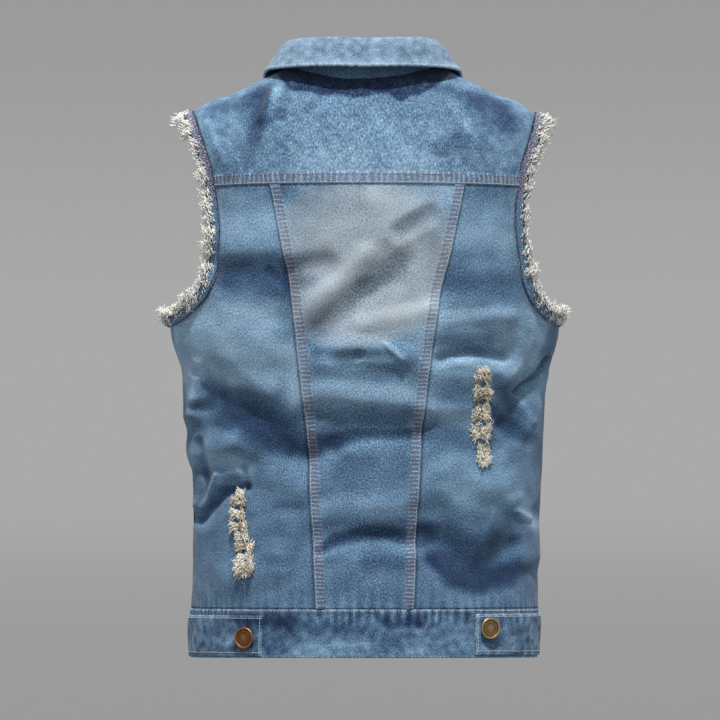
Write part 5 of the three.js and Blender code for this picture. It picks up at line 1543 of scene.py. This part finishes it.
def curly_lines(rng, roots, courses, aside, outward, lengths, curl, stations):
    """Strand lines that leave their roots along a course and curl round it."""
    count = len(roots)
    t = np.linspace(0, 1, stations)[None, :, None]
    turns = rng.uniform(0.6, 1.7, count)[:, None, None] * 2 * math.pi * t
    phase = rng.uniform(0, 2 * math.pi, count)[:, None, None]
    reach = (curl * rng.uniform(0.5, 1.3, count))[:, None, None] * np.minimum(1, 2.5 * t)
    bend = (rng.normal(0, 0.35, count) * lengths)[:, None, None] * t * t
    lift = (rng.normal(0.0, 0.22, count) * lengths)[:, None, None] * t * t
    straight = roots[:, None] + courses[:, None] * lengths[:, None, None] * t
    swirl = aside[:, None] * np.cos(turns + phase) + outward[:, None] * np.sin(turns + phase)
    start = aside[:, None] * np.cos(phase) + outward[:, None] * np.sin(phase)
    return straight + reach * (swirl - start * (1 - t)) + aside[:, None] * bend + outward[:, None] * lift


# Length, curl and fullness of the fray by height on the back
FRAY = {
    "height": [-280, -262, -245, -225, -200, -170, -140, -110, -80, -60, -45, -30],
    "length": [12, 12, 13, 13, 12, 11, 10, 10, 11, 12, 15, 16],
    "curl": [1.5, 1.7, 2.0, 2.2, 2.6, 2.6, 2.5, 2.5, 2.6, 2.7, 2.8, 2.4],
    "cover": [11, 11, 11, 10, 8, 7, 6, 6, 6, 6, 7, 8],
}
FRAY_STRANDS = 3100
FRAY_THICK = 1.0
FRAY_CLUMPS = 90
CLUMPED_SHARE = 0.72
FRAY_STATIONS = 7


def make_fray(side, seed):
    """The frayed edge round one armhole."""
    rng = np.random.default_rng(seed)
    clumps = np.sort(rng.uniform(0, ARM_RING_COUNT, FRAY_CLUMPS))
    clump_reach, clump_tint = rng.uniform(0.55, 1.2, FRAY_CLUMPS), rng.normal(0, 0.14, FRAY_CLUMPS)
    chosen = rng.integers(0, len(clumps), FRAY_STRANDS)
    loose = rng.uniform(0, ARM_RING_COUNT, FRAY_STRANDS)
    clumped = rng.uniform(size=FRAY_STRANDS) < CLUMPED_SHARE
    near_clump = clumps[chosen] + rng.normal(0, 0.9, FRAY_STRANDS)
    at = np.where(clumped, near_clump, loose) % ARM_RING_COUNT
    k = at.astype(int) % ARM_RING_COUNT
    share = (at - np.floor(at))[:, None]
    base, *ways = (v[k] * (1 - share) + v[(k + 1) % ARM_RING_COUNT] * share for v in arm_bands[side])
    way, out, aside = (unit(v) for v in ways)
    size = {key: read_table(FRAY, "height", base[:, 2], key) for key in ("length", "curl", "cover")}
    on_top = rng.uniform(size=FRAY_STRANDS) < 0.5
    back_over = size["cover"] * rng.uniform(0, 1, FRAY_STRANDS)
    start = SEAM_HALF_GAP + ARM_BAND_WIDTH + np.where(on_top, -back_over, 0.6)
    depth = np.where(on_top, rng.uniform(0.7, 1.6, FRAY_STRANDS), rng.uniform(-1.9, 0.2, FRAY_STRANDS))
    roots = base + way * start[:, None] + out * depth[:, None]
    lengths = size["length"] * rng.uniform(0.4, 1.05, FRAY_STRANDS)
    lengths = lengths * np.where(clumped, clump_reach[chosen], 0.7)
    lines = curly_lines(rng, roots, way, aside, out, lengths, size["curl"], FRAY_STATIONS)
    tints = np.clip(rng.normal(0.66, 0.3, FRAY_STRANDS) + np.where(clumped, clump_tint[chosen], -0.1), 0, 1)
    piece = add_strands(f"armhole_fray_yarns_{side}", lines, FRAY_THICK, tints, fray_yarn)
    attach(piece, "root")
    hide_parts(f"armhole_fray_{side}")


for side, seed in (("left", 7), ("right", 19)):
    make_fray(side, seed)


# Rips
# One upright slash in each back side panel. The blue warp is cut and washed away, and the white weft
# that bridges it has broken into fuzzy clumps, a little stained.
RIPS = {
    "left": [(-445, -131, 10), (-454, -132, 16), (-466, -132, 14), (-480, -131, 17), (-491, -127, 13),
             (-502, -124, 18), (-514, -123, 14), (-523, -123, 20), (-531, -124, 14)],
    "right": [(-314, 126, 11), (-321, 126, 15), (-334, 126, 18), (-340, 126, 19), (-354, 126, 13),
              (-361, 125, 17), (-375, 125, 20), (-382, 125, 19), (-396, 127, 13), (-404, 127, 15),
              (-411, 127, 10)],
}
RIP_STRANDS = 950
RIP_THICK = 0.85
RIP_CURL = 1.1
RIP_STATIONS = 6
# Stain of each clump, from the top: below 0 is darker
RIP_TINTS = [0.1, -0.45, -0.05, -0.25, 0.15, -0.15, 0.1, 0.2, -0.3, 0.2, 0.1]
rip_yarn = paint_yarn("ripped_cream_cotton", srgb("#a08f7e"), srgb("#fbeed6"), srgb("#fffdf2"))


def make_rip(side, seed):
    """The yarn of one rip, standing on the side panel."""
    rng = np.random.default_rng(seed)
    rows = np.array(RIPS[side], float)
    pick = rng.integers(0, len(rows), RIP_STRANDS)
    height = rows[pick, 0] + rng.normal(0, 1.7, RIP_STRANDS)
    middle = np.interp(-height, -rows[:, 0], rows[:, 1])
    wide = rows[pick, 2]
    start = rng.uniform(-0.34, 0.34, RIP_STRANDS) * wide
    x = middle + start
    angle = angle_at(x, height)
    surface, _ = cloth_point(angle, height)
    out = body_normal(angle, height)
    aside = unit(cloth_point(angle + 0.01, height)[0] - cloth_point(angle - 0.01, height)[0])
    up = np.cross(out, aside)
    way = np.sign(start + rng.normal(0, 2.0, RIP_STRANDS))[:, None]
    course = aside * way * rng.uniform(0.5, 1, RIP_STRANDS)[:, None]
    course = course + up * rng.normal(0, 0.5, RIP_STRANDS)[:, None]
    course = unit(course + out * rng.uniform(0.05, 0.55, RIP_STRANDS)[:, None])
    room = np.maximum(2.5, wide / 2 - np.abs(start) * 0.8)
    lengths = room * rng.uniform(0.5, 1.2, RIP_STRANDS) + 1.5
    roots = surface + out * rng.uniform(0.7, 1.6, RIP_STRANDS)[:, None]
    curl = np.full(RIP_STRANDS, RIP_CURL)
    lines = curly_lines(rng, roots, course, up, out, lengths, curl, RIP_STATIONS)
    above = ((lines - surface[:, None]) * out[:, None]).sum(-1)
    lines = lines + out[:, None] * np.maximum(0, 0.6 - above)[..., None]
    tints = np.clip(rng.normal(0.68, 0.28, RIP_STRANDS) + np.array(RIP_TINTS)[pick], 0, 1)
    piece = add_strands(f"rip_yarns_{side}", lines, RIP_THICK, tints, rip_yarn)
    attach(piece, "root")
    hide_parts(f"rip_yarn_{side}")


for side, seed in (("left", 31), ("right", 47)):
    make_rip(side, seed)


# Tack buttons
# Stamped brass caps with a rolled rim on a short shank, worn to a brown copper on the left tab.
# Seven close the front, and one holds each waist tab.
# Radius and height of a button from its shank to the middle of its cap
BUTTON_PROFILE = [
    (0, 0), (3.4, 0), (3.4, 1.5), (9.6, 1.9), (11.2, 2.6), (11.5, 3.2), (11.3, 3.9), (10.6, 4.35),
    (9.7, 4.3), (9.1, 3.8), (8.6, 3.45), (7.9, 3.5), (7.4, 3.85), (6.8, 3.9), (6.2, 3.6), (4.5, 3.75),
    (2.2, 4.0), (0, 4.05),
]
BUTTON_SIDES = 48
SPOTS_PER_METRE = 420.0


def paint_metal(name, bright, dark):
    """Antique plated metal: bright where it is rubbed, brown in its hollows, with spots of 2.4 mm."""
    material, tree = new_material(name)
    rubbed = add_node(tree, "Attribute", attribute_name="tint", out="Fac")
    place = add_node(tree, "TexCoord", out="Object")
    spots = add_node(tree, "TexNoise", {"Vector": place, "Scale": SPOTS_PER_METRE, "Detail": 3.0})
    spotted = add_node(tree, "Math", spots, 0.5, -0.2, operation="MULTIPLY_ADD")
    worn = add_node(tree, "Math", rubbed, 0.8, spotted, operation="MULTIPLY_ADD")
    colour = add_node(tree, "Mix", {0: worn, 6: dark, 7: bright}, **OF_COLOURS)
    add_node(tree, "OutputMaterial", add_node(tree, "BsdfPrincipled", {
        "Base Color": colour, "Metallic": 1.0, "Roughness": 0.42}))
    return material


brass = paint_metal("antique_brass", srgb("#d8b987"), srgb("#4d3a22"))
copper = paint_metal("antique_copper", srgb("#c08a5e"), srgb("#3c2413"))


def add_button(name, seat, normal, material):
    """One tack button on a seat, facing along a normal."""
    profile = np.array(BUTTON_PROFILE, float)
    turns = np.arange(BUTTON_SIDES) * 2 * math.pi / BUTTON_SIDES
    side = unit(np.cross(normal, [0.0, 0.0, 1.0]))
    up = np.cross(side, normal)
    rings = [seat + r * (np.cos(turns)[:, None] * side + np.sin(turns)[:, None] * up) + h * normal
             for r, h in profile[1:-1]]
    points = np.concatenate([seat[None] + 0 * normal, *rings, (seat + profile[-1, 1] * normal)[None]])
    faces = []
    for k in range(BUTTON_SIDES):
        after = (k + 1) % BUTTON_SIDES
        faces.append((0, 1 + after, 1 + k))
        for ring in range(len(rings) - 1):
            a, b = 1 + ring * BUTTON_SIDES, 1 + (ring + 1) * BUTTON_SIDES
            faces.append((a + k, a + after, b + after, b + k))
        last = 1 + (len(rings) - 1) * BUTTON_SIDES
        faces.append((last + k, last + after, len(points) - 1))
    piece = add_mesh(name, points, [face[::-1] for face in faces])
    rubbed = np.clip((profile[:, 1] - 3.4) / 0.8, 0, 1)
    tint = np.concatenate([[0.0], np.repeat(rubbed[1:-1], BUTTON_SIDES), [rubbed[-1]]])
    set_field(piece.data, "tint", tint)
    piece.data.materials.append(material)
    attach(piece, "root")
    return piece


def seat_on(points, x, z):
    """Point and outward direction of a grid of cloth, nearest to (x, z)."""
    away = np.hypot(points[..., 0] - x, points[..., 2] - z)
    j, i = np.unravel_index(np.argmin(away), away.shape)
    window = points[max(0, j - 6):j + 7, max(0, i - 6):i + 7]
    normal = unit(grid_normals(window).reshape(-1, 3).mean(0))
    return points[j, i] + normal * 0.45, normal


TAB_BUTTONS = [("left", -124, -596, copper), ("right", 133, -586, brass)]
FRONT_BUTTONS = [-88, -168, -248, -328, -408, -488, -596]
FRONT_BUTTON_X = -5
for side, x, z, metal in TAB_BUTTONS:
    button = add_button(f"tack_button_tab_{side}", *seat_on(tabs[side][1], x, z), metal)
    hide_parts(f"button_tab_{side}")
for number, z in enumerate(FRONT_BUTTONS, 1):
    under = plackets["left"][1] if z > WAIST else bands["left"][1]
    button = add_button(f"tack_button_front_{number}", *seat_on(under, FRONT_BUTTON_X, z), brass)
    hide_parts(f"button_front_{number}")
